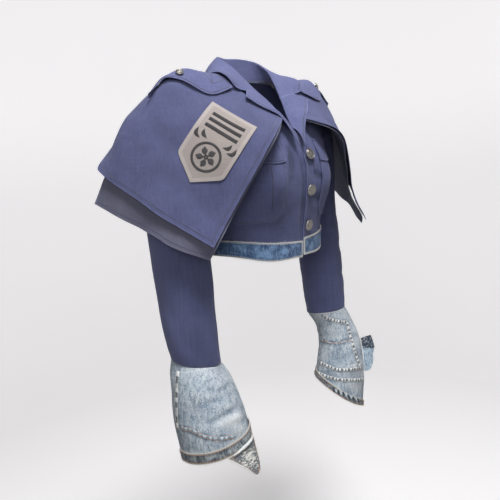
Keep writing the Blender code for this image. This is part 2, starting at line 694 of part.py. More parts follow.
def collar_and_lapel(neckline):
    """Half a collar and one lapel for the wearer's left, centre back to notch and notch to break."""
    collar = stations(COLLAR_STATIONS, COLLAR_HALF_STEPS)
    lapel = stations(LAPEL_STATIONS, LAPEL_STEPS)
    edges = np.concatenate([collar[:, 2], lapel[:, 1]])
    rolls = np.concatenate([collar[:, 1], lapel[:, 0]])
    first = COLLAR_HALF_STEPS
    tangents = np.gradient(rolls, axis=0)
    tangents[0] = (1, 0, 0)
    falls = unit(edges - rolls)
    overs = unit(np.cross(tangents, falls))
    beyonds = -falls
    for i in range(first - GORGE_EASE, len(rolls)):
        share = min(1.0, (i - first + 1 + GORGE_EASE) / GORGE_EASE)
        place, away = nearest_on(neckline, rolls[i])
        up = unit(np.cross(tangents[i], -away))
        beyonds[i] = unit(beyonds[i] * (1 - share) + away * share)
        overs[i] = unit(overs[i] * (1 - share) + up * share)
        seated = place + away * LAPEL_GAP + up * (ROLL_RADIUS - TWILL)
        rolls[i] = rolls[i] * (1 - share) + seated * share
    rolls[first] = rolls[first - 1] + GORGE * unit(rolls[first + 1] - rolls[first - 1])
    beyonds[first], overs[first] = beyonds[first - 1], overs[first - 1]
    inners = rolls + (edges - rolls) * NOTCH_SHARE
    inners[first] = inners[first - 1] + rolls[first] - rolls[first - 1]
    inners[first + 1] = 0.5 * (inners[first + 1] + inners[first] + rolls[first + 1] - rolls[first])
    leaves = [leaf_points(*row) for row in zip(rolls, inners, edges, beyonds, overs)]
    half = []
    for (seam, _, _), leaf in zip(collar, leaves):
        foot, _ = nearest_on(neckline, seam)
        foot = foot + unit(leaf[0] - foot) * STAND_GAP
        half.append([foot, 0.5 * (foot + leaf[0])] + leaf)
    return np.array(half), np.array(leaves[first:])


def on_front(lookup, x, z, lift):
    """The point on a front straight behind (x, z), moved out by `lift`, and the facing there."""
    place, normal, _, _ = lookup.ray_cast(Vector((x, -0.5, z)), Vector((0, 1, 0)))
    return np.array(place) + np.array(normal) * lift, normal


def pocket_grid(lookup, side):
    """The pocket bag with rounded lower corners and a raised box pleat, laid on the front."""
    x_in, x_out, top, bottom = POCKET
    grid = []
    for v in np.linspace(0, 1, POCKET_COLUMNS):
        z = top + (bottom - top) * v
        rise = max(0.0, POCKET_CORNER - (z - bottom))
        inset = POCKET_CORNER - math.sqrt(max(POCKET_CORNER**2 - rise**2, 0))
        line = []
        for u in np.linspace(0, 1, POCKET_COLUMNS):
            x = x_in + inset + (x_out - x_in - 2 * inset) * u
            pleat = PLEAT_RISE if abs(x - PLEAT_X) < PLEAT_WIDTH / 2 else 0.0
            line.append(on_front(lookup, side * x, z, TWILL + LAID + pleat)[0])
        grid.append(line)
    return clear_of(np.array(grid), [lookup], TWILL + OVER)


def flap_grid(lookup, pocket, side):
    """The flap over the pocket's mouth, lifted over the pocket, its lower edge dropping to two soft points."""
    x_in, x_out, top, bottom = POCKET_FLAP
    over_pocket = TWILL + LAID + PLEAT_RISE
    grid = []
    for v in np.linspace(0, 1, 6):
        climb = np.clip((v - FLAP_CLIMB[0]) / (FLAP_CLIMB[1] - FLAP_CLIMB[0]), 0, 1)
        lift = TWILL + LAID + over_pocket * climb * climb * (3 - 2 * climb)
        line = []
        for u in np.linspace(0, 1, POCKET_COLUMNS):
            low = bottom - FLAP_POINT * (0.5 - 0.5 * math.cos(4 * math.pi * u)) * 0.5
            x = x_in + (x_out - x_in) * u
            line.append(on_front(lookup, side * x, top + (low - top) * v, lift)[0])
        grid.append(line)
    return clear_of(np.array(grid), [lookup, pocket], TWILL + OVER)


def band_grid(panel, steps, start_x=None):
    """A waistband strip laid on the lowest rows of a body panel, ending at `start_x` if that is given."""
    rows = []
    for step in steps:
        k = max(int(np.searchsorted(BODY_STEPS, step)) - 1, 0)
        share = (step - BODY_STEPS[k]) / (BODY_STEPS[k + 1] - BODY_STEPS[k])
        rows.append(panel[k] + (panel[k + 1] - panel[k]) * share)
    grid = np.array(rows)
    if start_x is not None:
        first = int(np.argmax(grid[0, :, 0] > start_x + 0.004))
        share = (start_x - grid[:, first - 1, 0]) / (grid[:, first, 0] - grid[:, first - 1, 0])
        ends = grid[:, first - 1] + (grid[:, first] - grid[:, first - 1]) * share[:, None]
        grid = np.concatenate([ends[:, None], grid[:, first:]], axis=1)
    return grid + grid_normals(grid, BAND_CORE) * (BAND_LIFT + DENIM)


def button(name, place, facing, radius, finish):
    """A domed metal button with a rim, on a short shank, its foot at `place`."""
    profile = (
        (0.0, BUTTON_STAND + BUTTON_DOME),
        (0.45 * radius, BUTTON_STAND + BUTTON_DOME * 0.86),
        (0.80 * radius, BUTTON_STAND + BUTTON_DOME * 0.45),
        (0.86 * radius, BUTTON_STAND + BUTTON_DOME * 0.50),
        (radius, BUTTON_STAND + BUTTON_DOME * 0.28),
        (0.94 * radius, BUTTON_STAND),
        (BUTTON_FOOT * radius, BUTTON_STAND),
        (BUTTON_FOOT * radius, 0.0),
        (0.0, 0.0),
    )
    turn = Vector(facing).to_track_quat("Z", "Y")
    points = [Vector((0, 0, profile[0][1]))]
    for r, h in profile[1:-1]:
        for k in range(BUTTON_SIDES):
            a = 2 * math.pi * k / BUTTON_SIDES
            points.append(Vector((r * math.cos(a), r * math.sin(a), h)))
    points.append(Vector((0, 0, 0)))
    faces = []
    n = BUTTON_SIDES
    rings = len(profile) - 2
    for k in range(n):
        j = (k + 1) % n
        faces.append((0, 1 + k, 1 + j))
        for r in range(rings - 1):
            a = 1 + r * n
            faces.append((a + k, a + n + k, a + n + j, a + j))
        a = 1 + (rings - 1) * n
        faces.append((a + k, len(points) - 1, a + j))
    placed = [Vector(place) + turn @ p for p in points]
    return add_object(name, placed, faces, finish)


def patch_grid(lookup):
    """The patch laid on a cape panel, its rows running from the square end to the point."""
    place, normal, _, _ = lookup.find_nearest(Vector(PATCH_MIDDLE))
    down = Vector((0, 0, -1))
    down = (down - normal * down.dot(normal)).normalized()
    side = normal.cross(down)
    turn = math.radians(PATCH_TURN)
    along = down * math.cos(turn) + side * math.sin(turn)
    across = normal.cross(along)
    grid = []
    for v in np.linspace(0, 1, 11):
        line = []
        for u in np.linspace(-1, 1, 9):
            length = PATCH_TALL - PATCH_POINT * abs(u)
            p = place + across * (PATCH_WIDTH / 2 * u) + along * (length * v - PATCH_TALL / 2)
            hit, facing, _, _ = lookup.ray_cast(p + normal * 0.1, -normal)
            line.append(np.array(hit) + np.array(facing) * (PATCH_CLOTH + LAID))
        grid.append(line)
    return clear_of(np.array(grid), [lookup], PATCH_CLOTH + OVER)


def cuff_grid(top_ring, rings, angles):
    """A denim cuff from the sleeve's hem to its lower edge."""
    rows = smooth_curve(range(len(rings)), rings, np.linspace(0, len(rings) - 1, CUFF_STEPS))
    return np.array([top_ring] + [ring(row, angles) for row in rows])


def strip_grid(cuff, strip, core):
    """A strip laid round the lowest part of a cuff."""
    height, first, last = strip
    raised = cuff + grid_normals(cuff, core, closed=True) * (DENIM + LAID)
    lines = []
    for share in np.linspace(1, 0, STRIP_ROWS):
        line = []
        for c in range(first, last + 1):
            column = raised[::-1, c % cuff.shape[1]]
            along = chord_keys(column)
            line.append([np.interp(share * height, along, column[:, k]) for k in range(3)])
        lines.append(line)
    return np.array(lines)


def gusset_grid(cuff):
    """The torn triangle that hangs below the right cuff's hem."""
    top = cuff[-1, list(GUSSET_COLUMNS)] - np.array([0, 0, 2 * SEAM])
    low = np.array(GUSSET_LOW)
    return np.array([top + (low - top) * v for v in np.linspace(0, 1, GUSSET_ROWS)])


def tab_grid(cuff):
    """The torn band end, from where it meets the left cuff to its ragged outer edge."""
    foot_top, foot_low = np.array(TAB_FOOT)
    grid = []
    for share, x, y, z in TAB_OUT:
        place, normal, _, _ = cuff.find_nearest(Vector(foot_top + (foot_low - foot_top) * share))
        foot = np.array(place + normal * TAB_GAP)
        out = np.array([x, y, z])
        grid.append([foot + (out - foot) * u for u in (0.0, 0.5, 1.0)])
    return np.array(grid)


def build_body(finish):
    """Both fronts and the back; returns their outer grids."""
    left = folded(front_grid(LEFT_EDGE, False), FRONT_FOLDS, BODY_CORE)
    right = folded(front_grid(RIGHT_EDGE, True), FRONT_FOLDS + RIGHT_FRONT_FOLDS, BODY_CORE)
    left = opened_seams(left, -SEAM, -SEAM)
    right = mirrored(opened_seams(right, -SEAM, -SEAM))
    back = folded(back_grid(), BACK_FOLDS, BODY_CORE)
    back[:, 0, 1] += SEAM
    back = opened_seams(back, SEAM, SEAM)
    low = slice(0, BODY_STEPS.index(ARMPIT_ROW) + 1)
    seams = (((low, -1), 1), ((-1, slice(None)), 1))
    wall("front_left", left, TWILL, finish, BODY_CORE, square=seams)
    wall("front_right", right, TWILL, finish, BODY_CORE, square=seams)
    wall("back", back, TWILL, finish, BODY_CORE, square=seams + (((low, 0), 1),))
    return left, right, back


def on_left(grid, side):
    """A grid of either side as it would lie on the wearer's left, and the other way round."""
    return grid if side > 0 else mirrored(grid)


def on_side(point, side):
    return (side * point[0], point[1], point[2])


def build_sleeve(name, side, rings, front, back, finish):
    """One sleeve; returns its outer grid as on the wearer's left, and the angles of its rings."""
    behind = back if side > 0 else mirrored(back[:, ::-1])
    grid, angles = sleeve_grid(armhole(on_left(front, side), behind), rings)
    core = (rings[1][0], rings[1][1], SLEEVE_CORE_Z)
    grid = folded(grid, SLEEVE_FOLDS, core, closed=True)
    hem = (((-1, slice(None)), 2),)
    wall(f"sleeve_{name}", on_left(grid, side), TWILL, finish, on_side(core, side), closed=True, square=hem)
    return grid, angles


def build_cape(name, side, under, navy, slate, metal):
    """Both cape layers, the epaulette and its button; returns the upper layer and the epaulette."""
    upper, lower = cape_layers(under, side)
    strap = epaulette_grid(surface(upper, CAPE_CORE))
    core = on_side(CAPE_CORE, side)
    wall(f"cape_upper_{name}", on_left(upper, side), CAPE_CLOTH, navy, core)
    wall(f"cape_lower_{name}", on_left(lower, side), CAPE_CLOTH, slate, core)
    wall(f"epaulette_{name}", on_left(strap, side), TWILL, navy, core)
    x, y = EPAULETTE_BUTTON
    place, normal, _, _ = surface(strap, CAPE_CORE).ray_cast(Vector((x, y, 0.2)), Vector((0, 0, -1)))
    place = place + normal * SMALL_BUTTON_GAP
    flip = Vector((side, 1, 1))
    button(f"button_shoulder_{name}", place * flip, normal * flip, SMALL_BUTTON_RADIUS, metal)
    return upper, strap


def build_cuff(name, side, sleeve, angles, denim, dark):
    """A cuff and the dark strip round its hem; returns the cuff's outer grid as on the wearer's left."""
    rings = LEFT_CUFF_RINGS if side > 0 else RIGHT_CUFF_RINGS
    folds = LEFT_CUFF_FOLDS if side > 0 else RIGHT_CUFF_FOLDS
    core = rings[CUFF_CORE_RING][:3]
    cuff = cuff_grid(sleeve[-1] - np.array([0, 0, CUFF_GAP]), rings, angles)
    cuff = folded(cuff, folds, core, closed=True)
    strip = strip_grid(cuff, LEFT_STRIP if side > 0 else RIGHT_STRIP, core)
    there = on_side(core, side)
    wall(f"cuff_{name}", on_left(cuff, side), DENIM, denim, there, closed=True, square=(((0, slice(None)), 2),))
    wall(f"cuff_strip_{name}", on_left(strip, side), DENIM, dark, there)
    return cuff


def neckline_of(front, back):
    """The neckline from the centre back to the break: its points and the way out over the neck hole."""
    centre = BACK_COLUMNS // 2
    edge = np.concatenate([back[-1, centre:NECK_COLUMN + 1], front[::-1, 0]])
    below = np.concatenate([back[-2, centre:NECK_COLUMN + 1], front[::-1, 1]])
    line = np.concatenate([edge, unit(edge - below)], axis=1)
    return np.concatenate([line[:1] * (0, 1, 1, 0, 1, 1), line])


def build_collar(left, right, back, under, finish):
    """The collar and both lapels, their leaves lifted clear of what they lie on."""
    halves = []
    for name, side, front, behind in (
        ("left", 1, left, back),
        ("right", -1, mirrored(right), mirrored(back[:, ::-1])),
    ):
        half, lapel = collar_and_lapel(neckline_of(front, behind))
        leaf = -len(LEAF_SHARES)
        half[:, leaf:] = clear_of(half[:, leaf:], under, TWILL + OVER)
        lapel[:, leaf:] = clear_of(lapel[:, leaf:], under, TWILL + OVER)
        wall(f"lapel_{name}", on_left(lapel, side), TWILL, finish, on_side(LAPEL_CORE, side))
        halves.append(half)
    collar = np.concatenate([mirrored(halves[1])[:0:-1], halves[0]])
    wall("collar", collar, TWILL, finish, COLLAR_CORE)


def main():
    for old in list(bpy.data.objects):
        bpy.data.objects.remove(old)
    navy = material("navy_twill", NAVY, 0.85)
    slate = material("slate_cloth", SLATE, 0.8)
    light = material("light_denim", LIGHT_DENIM, 0.9)
    dark = material("dark_denim", DARK_DENIM, 0.9)
    band = material("band_denim", BAND_DENIM, 0.9)
    khaki = material("patch_cloth", KHAKI, 0.9)
    metal = material("button_metal", SILVER, 0.35, 1.0)

    left, right, back = build_body(navy)
    over_left = []
    for name, side, front, rings in (
        ("left", 1, left, LEFT_SLEEVE_RINGS),
        ("right", -1, right, RIGHT_SLEEVE_RINGS),
    ):
        lookup = surface(front, BODY_CORE)
        pocket = pocket_grid(lookup, side)
        flap = flap_grid(lookup, surface(pocket, BODY_CORE), side)
        wall(f"pocket_{name}", pocket, TWILL, navy, BODY_CORE)
        wall(f"pocket_flap_{name}", flap, TWILL, navy, BODY_CORE)
        sleeve, angles = build_sleeve(name, side, rings, front, back, navy)
        under = [surface(on_left(grid, side), BODY_CORE) for grid in (front, back, pocket, flap)]
        under.append(surface(sleeve, (rings[1][0], rings[1][1], SLEEVE_CORE_Z), closed=True))
        upper, strap = build_cape(name, side, under, navy, slate, metal)
        over_left += under[:2] + [surface(upper, CAPE_CORE), surface(strap, CAPE_CORE)]
        cuff = build_cuff(name, side, sleeve, angles, light, dark)
        if side < 0:
            patch = mirrored(patch_grid(surface(upper, CAPE_CORE)))
            wall("shoulder_patch", patch, PATCH_CLOTH, khaki, on_side(CAPE_CORE, side))
            gusset = mirrored(gusset_grid(cuff))
            wall("cuff_gusset_right", gusset, DENIM, dark, GUSSET_CORE)
        else:
            tab = tab_grid(surface(cuff, LEFT_CUFF_RINGS[CUFF_CORE_RING][:3], closed=True))
            wall("cuff_tab_left", tab, TAB_THICKNESS, dark, TAB_CORE)

    build_collar(left, right, back, over_left, navy)

    for i, (x, z) in enumerate(FRONT_BUTTONS, start=1):
        place, facing = on_front(surface(left, BODY_CORE), x, z, BUTTON_GAP)
        button(f"button_front_{i}", place, facing, BUTTON_RADIUS, metal)

    for name, grid in (
        ("left", band_grid(left, LEFT_BAND_STEPS)),
        ("right", mirrored(band_grid(mirrored(right), BAND_STEPS, BAND_RIGHT_END))),
        ("back", band_grid(back, BAND_STEPS)),
    ):
        wall(f"waistband_{name}", grid, DENIM, band, BAND_CORE)


main()
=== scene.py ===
import math

import bmesh
import bpy
import numpy as np
from mathutils import Matrix, Vector
from mathutils.bvhtree import BVHTree
from mathutils.kdtree import KDTree


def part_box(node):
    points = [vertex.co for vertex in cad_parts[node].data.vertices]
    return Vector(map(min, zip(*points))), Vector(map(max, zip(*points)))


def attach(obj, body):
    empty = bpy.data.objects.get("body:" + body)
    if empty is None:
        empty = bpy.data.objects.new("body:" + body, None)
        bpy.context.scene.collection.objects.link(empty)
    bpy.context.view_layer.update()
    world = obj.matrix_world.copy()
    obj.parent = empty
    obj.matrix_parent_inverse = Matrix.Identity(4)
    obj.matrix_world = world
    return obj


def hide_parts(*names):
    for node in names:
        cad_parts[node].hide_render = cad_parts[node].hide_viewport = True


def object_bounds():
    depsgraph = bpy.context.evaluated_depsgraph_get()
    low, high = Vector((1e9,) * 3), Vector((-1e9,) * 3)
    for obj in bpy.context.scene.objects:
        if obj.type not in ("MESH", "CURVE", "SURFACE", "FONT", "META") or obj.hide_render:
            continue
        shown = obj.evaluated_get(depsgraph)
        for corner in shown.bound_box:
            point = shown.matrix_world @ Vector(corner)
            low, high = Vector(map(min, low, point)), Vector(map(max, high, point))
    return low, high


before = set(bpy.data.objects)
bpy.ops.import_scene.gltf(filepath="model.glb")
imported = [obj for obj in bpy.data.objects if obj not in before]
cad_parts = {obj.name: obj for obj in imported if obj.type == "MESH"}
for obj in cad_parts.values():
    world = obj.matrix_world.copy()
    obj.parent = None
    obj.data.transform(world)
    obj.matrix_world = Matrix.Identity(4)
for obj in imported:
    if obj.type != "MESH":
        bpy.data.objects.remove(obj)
CAD_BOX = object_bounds()

# Camera: place in metres, turns in degrees, and the focal length in pixels of the 500 pixel frame
CAMERA_PLACE = (-0.845, -0.895, -0.213)
CAMERA_AZIMUTH = 41.8
CAMERA_PITCH = 8.2
CAMERA_ROLL = -4.3
FOCAL_PIXELS = 525.0
FRAME_PIXELS = 500
SENSOR_MM = 36.0
CLIP_END = 50.0

# A pixel that misses its cloth starts its search this far along the ray, and steps this often
SEARCH_START = 1.2
SEARCH_STEPS = 6

# Cloth thicknesses in metres, and the share of them that the shells have
TWILL = 0.0016
CAPE_CLOTH = 0.0015
DENIM = 0.0020
PATCH_CLOTH = 0.0011
TAB_CLOTH = 0.0028
SHELL_SHARE = 0.92

# How the shells are cut out of the CAD walls: lengths in metres, folds in degrees
WELD = 1e-6
SKIN = 2e-5
RIM_DEPTH = 2.4
OPEN_FOLD = 60
TIGHT_FOLD = 76
TIGHTLY_FOLDED = ("collar",)
JOIN_FOLD = 50
JOIN_SHAPE = 60
SHARP_FOLD = 50

# Fine ripple of the cloths: how many waves and their lengths in metres
RIPPLE_WAVES = 9
RIPPLE_LENGTHS = (0.035, 0.11)

# What points keep as their distance from a seam where the cloth has none
FAR = 1.0

# Linear colours
NAVY = (0.066, 0.074, 0.178)
NAVY_DUSTY = (0.150, 0.168, 0.345)
NAVY_SHEEN = (0.62, 0.68, 1.0)
# The next two: a lighter copy of the navy and of its bloom, painted light for the upturned faces of the
# collar, lapels and epaulettes
LIT_NAVY = (0.088, 0.098, 0.228)
LIT_NAVY_DUSTY = (0.205, 0.226, 0.440)
SLATE = (0.100, 0.102, 0.158)
SLATE_DUSTY = (0.152, 0.156, 0.222)
DENIM_PALE = (0.585, 0.705, 0.800)
DENIM_WHITE = (0.920, 0.940, 0.940)
DENIM_BLUE = (0.052, 0.120, 0.225)
DENIM_DEEP = (0.180, 0.250, 0.320)
SEAM_BLUE = (0.030, 0.058, 0.098)
BAND_BLUE = (0.028, 0.078, 0.200)
BAND_PALE = (0.330, 0.540, 0.860)
STRIP_DARK = (0.032, 0.056, 0.088)
STRIP_PALE = (0.700, 0.760, 0.780)
LOOP_DARK = (0.020, 0.030, 0.045)
KHAKI = (0.300, 0.262, 0.246)
KHAKI_LIGHT = (0.520, 0.470, 0.450)
KHAKI_DEEP = (0.21, 0.18, 0.17)
MOTIF_DARK = (0.018, 0.015, 0.017)
MOTIF_LIGHT = (0.040, 0.036, 0.040)
FRAY = (0.880, 0.870, 0.820)
FRAY_GREY = (0.86, 0.85, 0.82)
ORANGE = (0.560, 0.250, 0.080)
ORANGE_LIGHT = (0.60, 0.36, 0.18)
CREAM = (0.800, 0.740, 0.620)
NAVY_THREAD = (0.120, 0.135, 0.290)
# Painted shade: darkens the twill's crease valleys and colours the strips along its seam grooves and pocket
# pleats; the loose thread loop and the neck tape are drawn in it too
NAVY_SHADOW = (0.018, 0.020, 0.050)
SHADOW_LIGHT = (0.040, 0.045, 0.100)
SILVER = (0.225, 0.215, 0.205)
TARNISH = (0.22, 0.20, 0.18)
SILVER_HOLLOW = (0.06, 0.055, 0.05)
FLOOR = (0.800, 0.785, 0.792)
FLOOR_LIGHT = (0.830, 0.815, 0.822)
FLOOR_GLOW_TINT = (0.985, 0.965, 0.975)
WORLD_GREY = (0.96, 0.97, 1.0)

# Stage, in metres: how far the floor lies below the jacket, and the round wall's distance, height and
# curved foot
FLOOR_DROP = 0.62
WALL_DISTANCE = 3.2
WALL_HEIGHT = 9.0
CURVE_RADIUS = 1.2
CURVE_STEPS = 12
STAGE_SIDES = 96

# Lights: place, aim, size and power, and how strongly the world and the stage glow
LIGHTS = (
    ("key", (-0.32, -0.98, 2.16), (0.0, -0.05, -0.25), 0.8, 88.0),
    ("front", (-1.70, -1.60, 0.30), (0.0, -0.05, -0.45), 1.2, 15.5),
    ("rim", (1.5, 1.6, 1.5), (0.0, 0.0, -0.25), 1.2, 8.0),
)
WORLD_STRENGTH = 0.115
WALL_GLOW = 0.53
FLOOR_GLOW = 0.335

# Rows of stitches: pitch, share of it that is thread, half width and height
NAVY_ROW = (0.0034, 0.66, 0.00062, 0.00055)
FELLED_ROW = (0.0042, 0.80, 0.00085, 0.00070)
HEM_ROW = (0.0034, 0.80, 0.00075, 0.00060)
GUSSET_ROW = (0.0034, 0.72, 0.0006, 0.0005)
PATCH_ROW = (0.0028, 0.7, 0.0004, 0.0004)

SIDES = (("left", 1), ("right", -1))

rng = np.random.default_rng(7)


def camera_turn():
    """The camera's right, up and forward directions."""
    a, p, r = (math.radians(v) for v in (CAMERA_AZIMUTH, CAMERA_PITCH, CAMERA_ROLL))
    forward = Vector((math.sin(a) * math.cos(p), math.cos(a) * math.cos(p), -math.sin(p)))
    level = Vector((math.cos(a), -math.sin(a), 0))
    above = level.cross(forward)
    right = level * math.cos(r) + above * math.sin(r)
    up = above * math.cos(r) - level * math.sin(r)
    return right, up, forward


def photo_ray(pixel):
    """The direction from the camera through a pixel of the photograph."""
    right, up, forward = camera_turn()
    across, down = ((v - FRAME_PIXELS / 2) / FOCAL_PIXELS for v in pixel)
    return (forward + right * across - up * down).normalized()


class Material:
    """A Principled BSDF with short ways to add nodes to it."""

    def __init__(self, name, roughness, metallic=0.0, sheen=0.0, sheen_tint=(1, 1, 1)):
        self.made = bpy.data.materials.new(name)
        self.made.use_nodes = True
        self.tree = self.made.node_tree
        self.shader = self.tree.nodes["Principled BSDF"]
        self.plug(self.shader, "Roughness", roughness)
        self.plug(self.shader, "Metallic", metallic)
        self.plug(self.shader, "Sheen Weight", sheen)
        self.plug(self.shader, "Sheen Roughness", 0.5)
        self.plug(self.shader, "Sheen Tint", (*sheen_tint, 1))
        self.place = self.tree.nodes.new("ShaderNodeTexCoord").outputs["Object"]

    def plug(self, node, key, value):
        """Gives a node's input a value or another node's output."""
        if isinstance(value, bpy.types.NodeSocket):
            self.tree.links.new(value, node.inputs[key])
        else:
            node.inputs[key].default_value = value

    def node(self, kind, inputs=(), **settings):
        made = self.tree.nodes.new(kind)
        for key, value in settings.items():
            setattr(made, key, value)
        for key, value in dict(inputs).items():
            self.plug(made, key, value)
        return made

    def scaled(self, scale, turn):
        turned = [math.radians(v) for v in turn]
        inputs = {"Vector": self.place, "Scale": scale, "Rotation": turned}
        return self.node("ShaderNodeMapping", inputs).outputs["Vector"]

    def noise(self, scale, detail, turn=(0, 0, 0), rough=0.55):
        """Noise of one scale, or streaks of three."""
        vector = self.place
        if isinstance(scale, tuple):
            vector = self.scaled(scale, turn)
            scale = 1.0
        inputs = {"Vector": vector, "Scale": scale, "Detail": detail, "Roughness": rough}
        return self.node("ShaderNodeTexNoise", inputs).outputs["Fac"]

    def ramp(self, value, low, high):
        """`value` stretched so that low gives 0 and high gives 1."""
        inputs = {"Value": value, "From Min": low, "From Max": high}
        return self.node("ShaderNodeMapRange", inputs, clamp=True).outputs["Result"]

    def spots(self, scale, detail, low, high, turn=(0, 0, 0), rough=0.55):
        return self.ramp(self.noise(scale, detail, turn, rough), low, high)

    def kept(self, name, low, high):
        """What the mesh keeps at its points under this name, stretched."""
        return self.ramp(self.node("ShaderNodeAttribute", attribute_name=name).outputs["Fac"], low, high)

    def height(self):
        return self.node("ShaderNodeSeparateXYZ", {"Vector": self.place}).outputs["Z"]

    def times(self, first, second):
        return self.node("ShaderNodeMath", {0: first, 1: second}, operation="MULTIPLY").outputs[0]

    def plus(self, first, second):
        return self.node("ShaderNodeMath", {0: first, 1: second}, operation="ADD").outputs[0]

    def mix(self, share, first, second):
        made = self.node("ShaderNodeMix", data_type="RGBA")
        for key, value in ((0, share), (6, first), (7, second)):
            self.plug(made, key, (*value, 1) if isinstance(value, tuple) else value)
        return made.outputs[2]

    def paint(self, shade, *layers):
        """The surface's colour: a shade with layers over it, each a share, its strength and a colour."""
        for share, strength, colour in layers:
            shade = self.mix(self.times(share, strength), shade, colour)
        self.plug(self.shader, "Base Color", shade)

    def bump(self, height, distance, strength):
        made = self.node("ShaderNodeBump", {"Height": height, "Distance": distance, "Strength": strength})
        self.plug(self.shader, "Normal", made.outputs["Normal"])
        return self.made

    def twill(self, threads, turn):
        """Diagonal cords of a twill weave, `threads` a metre."""
        inputs = {"Vector": self.scaled((threads, threads, threads), turn), "Scale": 1.0, "Distortion": 0.4}
        return self.node("ShaderNodeTexWave", inputs, bands_direction="DIAGONAL").outputs["Fac"]


def twill_cloth(name, base, dusty):
    """Cotton twill: slubby upright threads, a dusty bloom, worn edges, soft crumples, a fine weave and painted
    shade in its crease valleys.
    """
    made = Material(name, 0.85, sheen=0.12, sheen_tint=NAVY_SHEEN)
    slubs = made.spots((260, 260, 9), 3.0, 0.34, 0.70)
    worn = made.times(made.kept("edge", 0.0030, 0.0004), made.spots(60.0, 3.0, 0.30, 0.60))
    made.paint(
        base,
        (slubs, 0.24, dusty),
        (made.spots((22, 22, 420), 2.0, 0.3, 0.7), 0.12, dusty),
        (made.spots(11.0, 5.0, 0.38, 0.72), 0.26, dusty),
        (worn, 0.80, dusty),
        # Painted shade: the crease valleys pressed into the cloth are darkened towards the shadow navy
        (made.kept("relief", 0.0, -0.004), 0.62, NAVY_SHADOW),
    )
    threads = made.plus(made.times(made.twill(1100, (0, 0, 40)), 0.04), made.times(slubs, 0.04))
    return made.bump(made.plus(threads, made.noise(17.0, 2.0)), 0.0065, 0.75)


def denim_cloth(name, pale, white, blue):
    """Washed denim: upright streaks and flecks on a twill, faded ridges, blue troughs, blue by its seams."""
    made = Material(name, 0.92, sheen=0.08)
    flecks = made.noise((900, 900, 260), 2.0)
    marks = made.noise((170, 170, 48), 5.0, (0, 6, 0), 0.72)
    beside_seams = made.times(made.kept("seam", 0.0095, 0.0035), made.spots(130.0, 2.0, 0.38, 0.60))
    made.paint(
        pale,
        (made.spots(20.0, 5.0, 0.36, 0.64), 0.50, white),
        (made.spots((26, 26, 110), 3.0, 0.50, 0.70), 0.48, blue),
        (made.spots((430, 430, 38), 4.0, 0.36, 0.64, rough=0.65), 0.40, blue),
        (made.ramp(marks, 0.50, 0.60), 0.55, blue),
        (made.ramp(marks, 0.48, 0.36), 0.60, white),
        (made.spots(13.0, 2.0, 0.50, 0.66), 0.55, white),
        (made.kept("relief", 0.0002, -0.0022), 0.80, blue),
        (made.kept("relief", 0.0002, 0.0022), 0.60, white),
        (made.ramp(flecks, 0.44, 0.60), 0.34, blue),
        (made.ramp(flecks, 0.54, 0.40), 0.26, white),
        (beside_seams, 0.80, blue),
        (made.kept("edge", 0.0026, 0.0004), 0.70, FRAY),
    )
    cords = made.plus(made.times(made.twill(700, (0, 35, 40)), 0.10), made.times(flecks, 0.16))
    return made.bump(made.plus(cords, made.noise(48.0, 3.0)), 0.0028, 0.7)


def band_cloth(name, dark, pale):
    """A worn denim strip: pale in ragged streaks along its middle, dark beside its frayed edges."""
    made = Material(name, 0.92, sheen=0.08)
    streaks = made.spots((300, 300, 90), 4.0, 0.42, 0.62, (0, 25, 0), 0.65)
    middle = made.plus(made.times(made.kept("edge", 0.0040, 0.0100), 0.75), 0.25)
    made.paint(
        dark,
        (made.times(middle, made.spots(46.0, 4.0, 0.44, 0.60, rough=0.65)), 0.85, pale),
        (streaks, 0.42, pale),
        (made.spots((900, 900, 300), 2.0, 0.46, 0.60), 0.45, dark),
        (made.kept("edge", 0.0028, 0.0010), 0.90, FRAY),
    )
    weave = made.twill(700, (0, 35, 40))
    return made.bump(made.plus(made.times(weave, 0.10), streaks), 0.0014, 0.7)


def tab_cloth(name, pale, white, dark, split):
    """A belt loop of denim: speckled and dark above the height `split`, pale below it."""
    made = Material(name, 0.92, sheen=0.08)
    ragged = made.plus(made.height(), made.times(made.noise(120.0, 2.0), 0.010))
    speck = made.spots((520, 520, 200), 3.0, 0.56, 0.66)
    streaks = made.spots((430, 430, 60), 3.0, 0.36, 0.64)
    lower = made.mix(made.times(streaks, 0.7), pale, DENIM_BLUE)
    made.paint(made.mix(made.ramp(ragged, split, split + 0.004), lower, made.mix(speck, dark, white)))
    return made.bump(speck, 0.0005, 0.7)


def torn_cloth(name, white, dark, centre, reach):
    """Torn denim: a patch of white loose weft around `centre` on a dark ground."""
    made = Material(name, 0.95, sheen=0.1)
    away = made.node("ShaderNodeVectorMath", {0: made.place, 1: centre}, operation="DISTANCE")
    patch = made.times(made.ramp(away.outputs["Value"], reach, 0.2 * reach), 0.26)
    threads = made.noise((150, 150, 420), 4.0, (0, 35, 0), 0.7)
    tufts = made.ramp(made.plus(threads, patch), 0.60, 0.68)
    grain = made.noise(600.0, 2.0)
    made.paint(made.mix(tufts, dark, white), (grain, 0.30, white))
    return made.bump(made.plus(made.times(grain, 0.3), tufts), 0.0014, 0.8)


def seam_cloth(name, pale, blue):
    """A puckered denim seam: pale where it bulges, blue where the stitches draw it in."""
    made = Material(name, 0.9, sheen=0.1)
    patchy = made.spots(95.0, 3.0, 0.42, 0.58)
    grain = made.noise(700.0, 2.0)
    bulging = made.mix(made.kept("pucker", 0.40, 0.58), blue, pale)
    made.paint(bulging, (patchy, 0.45, blue), (grain, 0.28, pale))
    return made.bump(grain, 0.0005, 0.7)


def felt_cloth(name, base, light):
    """Felted patch cloth, lighter on its turned border."""
    made = Material(name, 0.95, sheen=0.2)
    grain = made.noise(900.0, 4.0)
    weft = made.spots((60, 60, 700), 2.0, 0.35, 0.65)
    border = made.kept("edge", 0.0085, 0.0060)
    made.paint(base, (grain, 0.40, light), (weft, 0.30, KHAKI_DEEP), (border, 0.42, light))
    return made.bump(grain, 0.0006, 0.6)


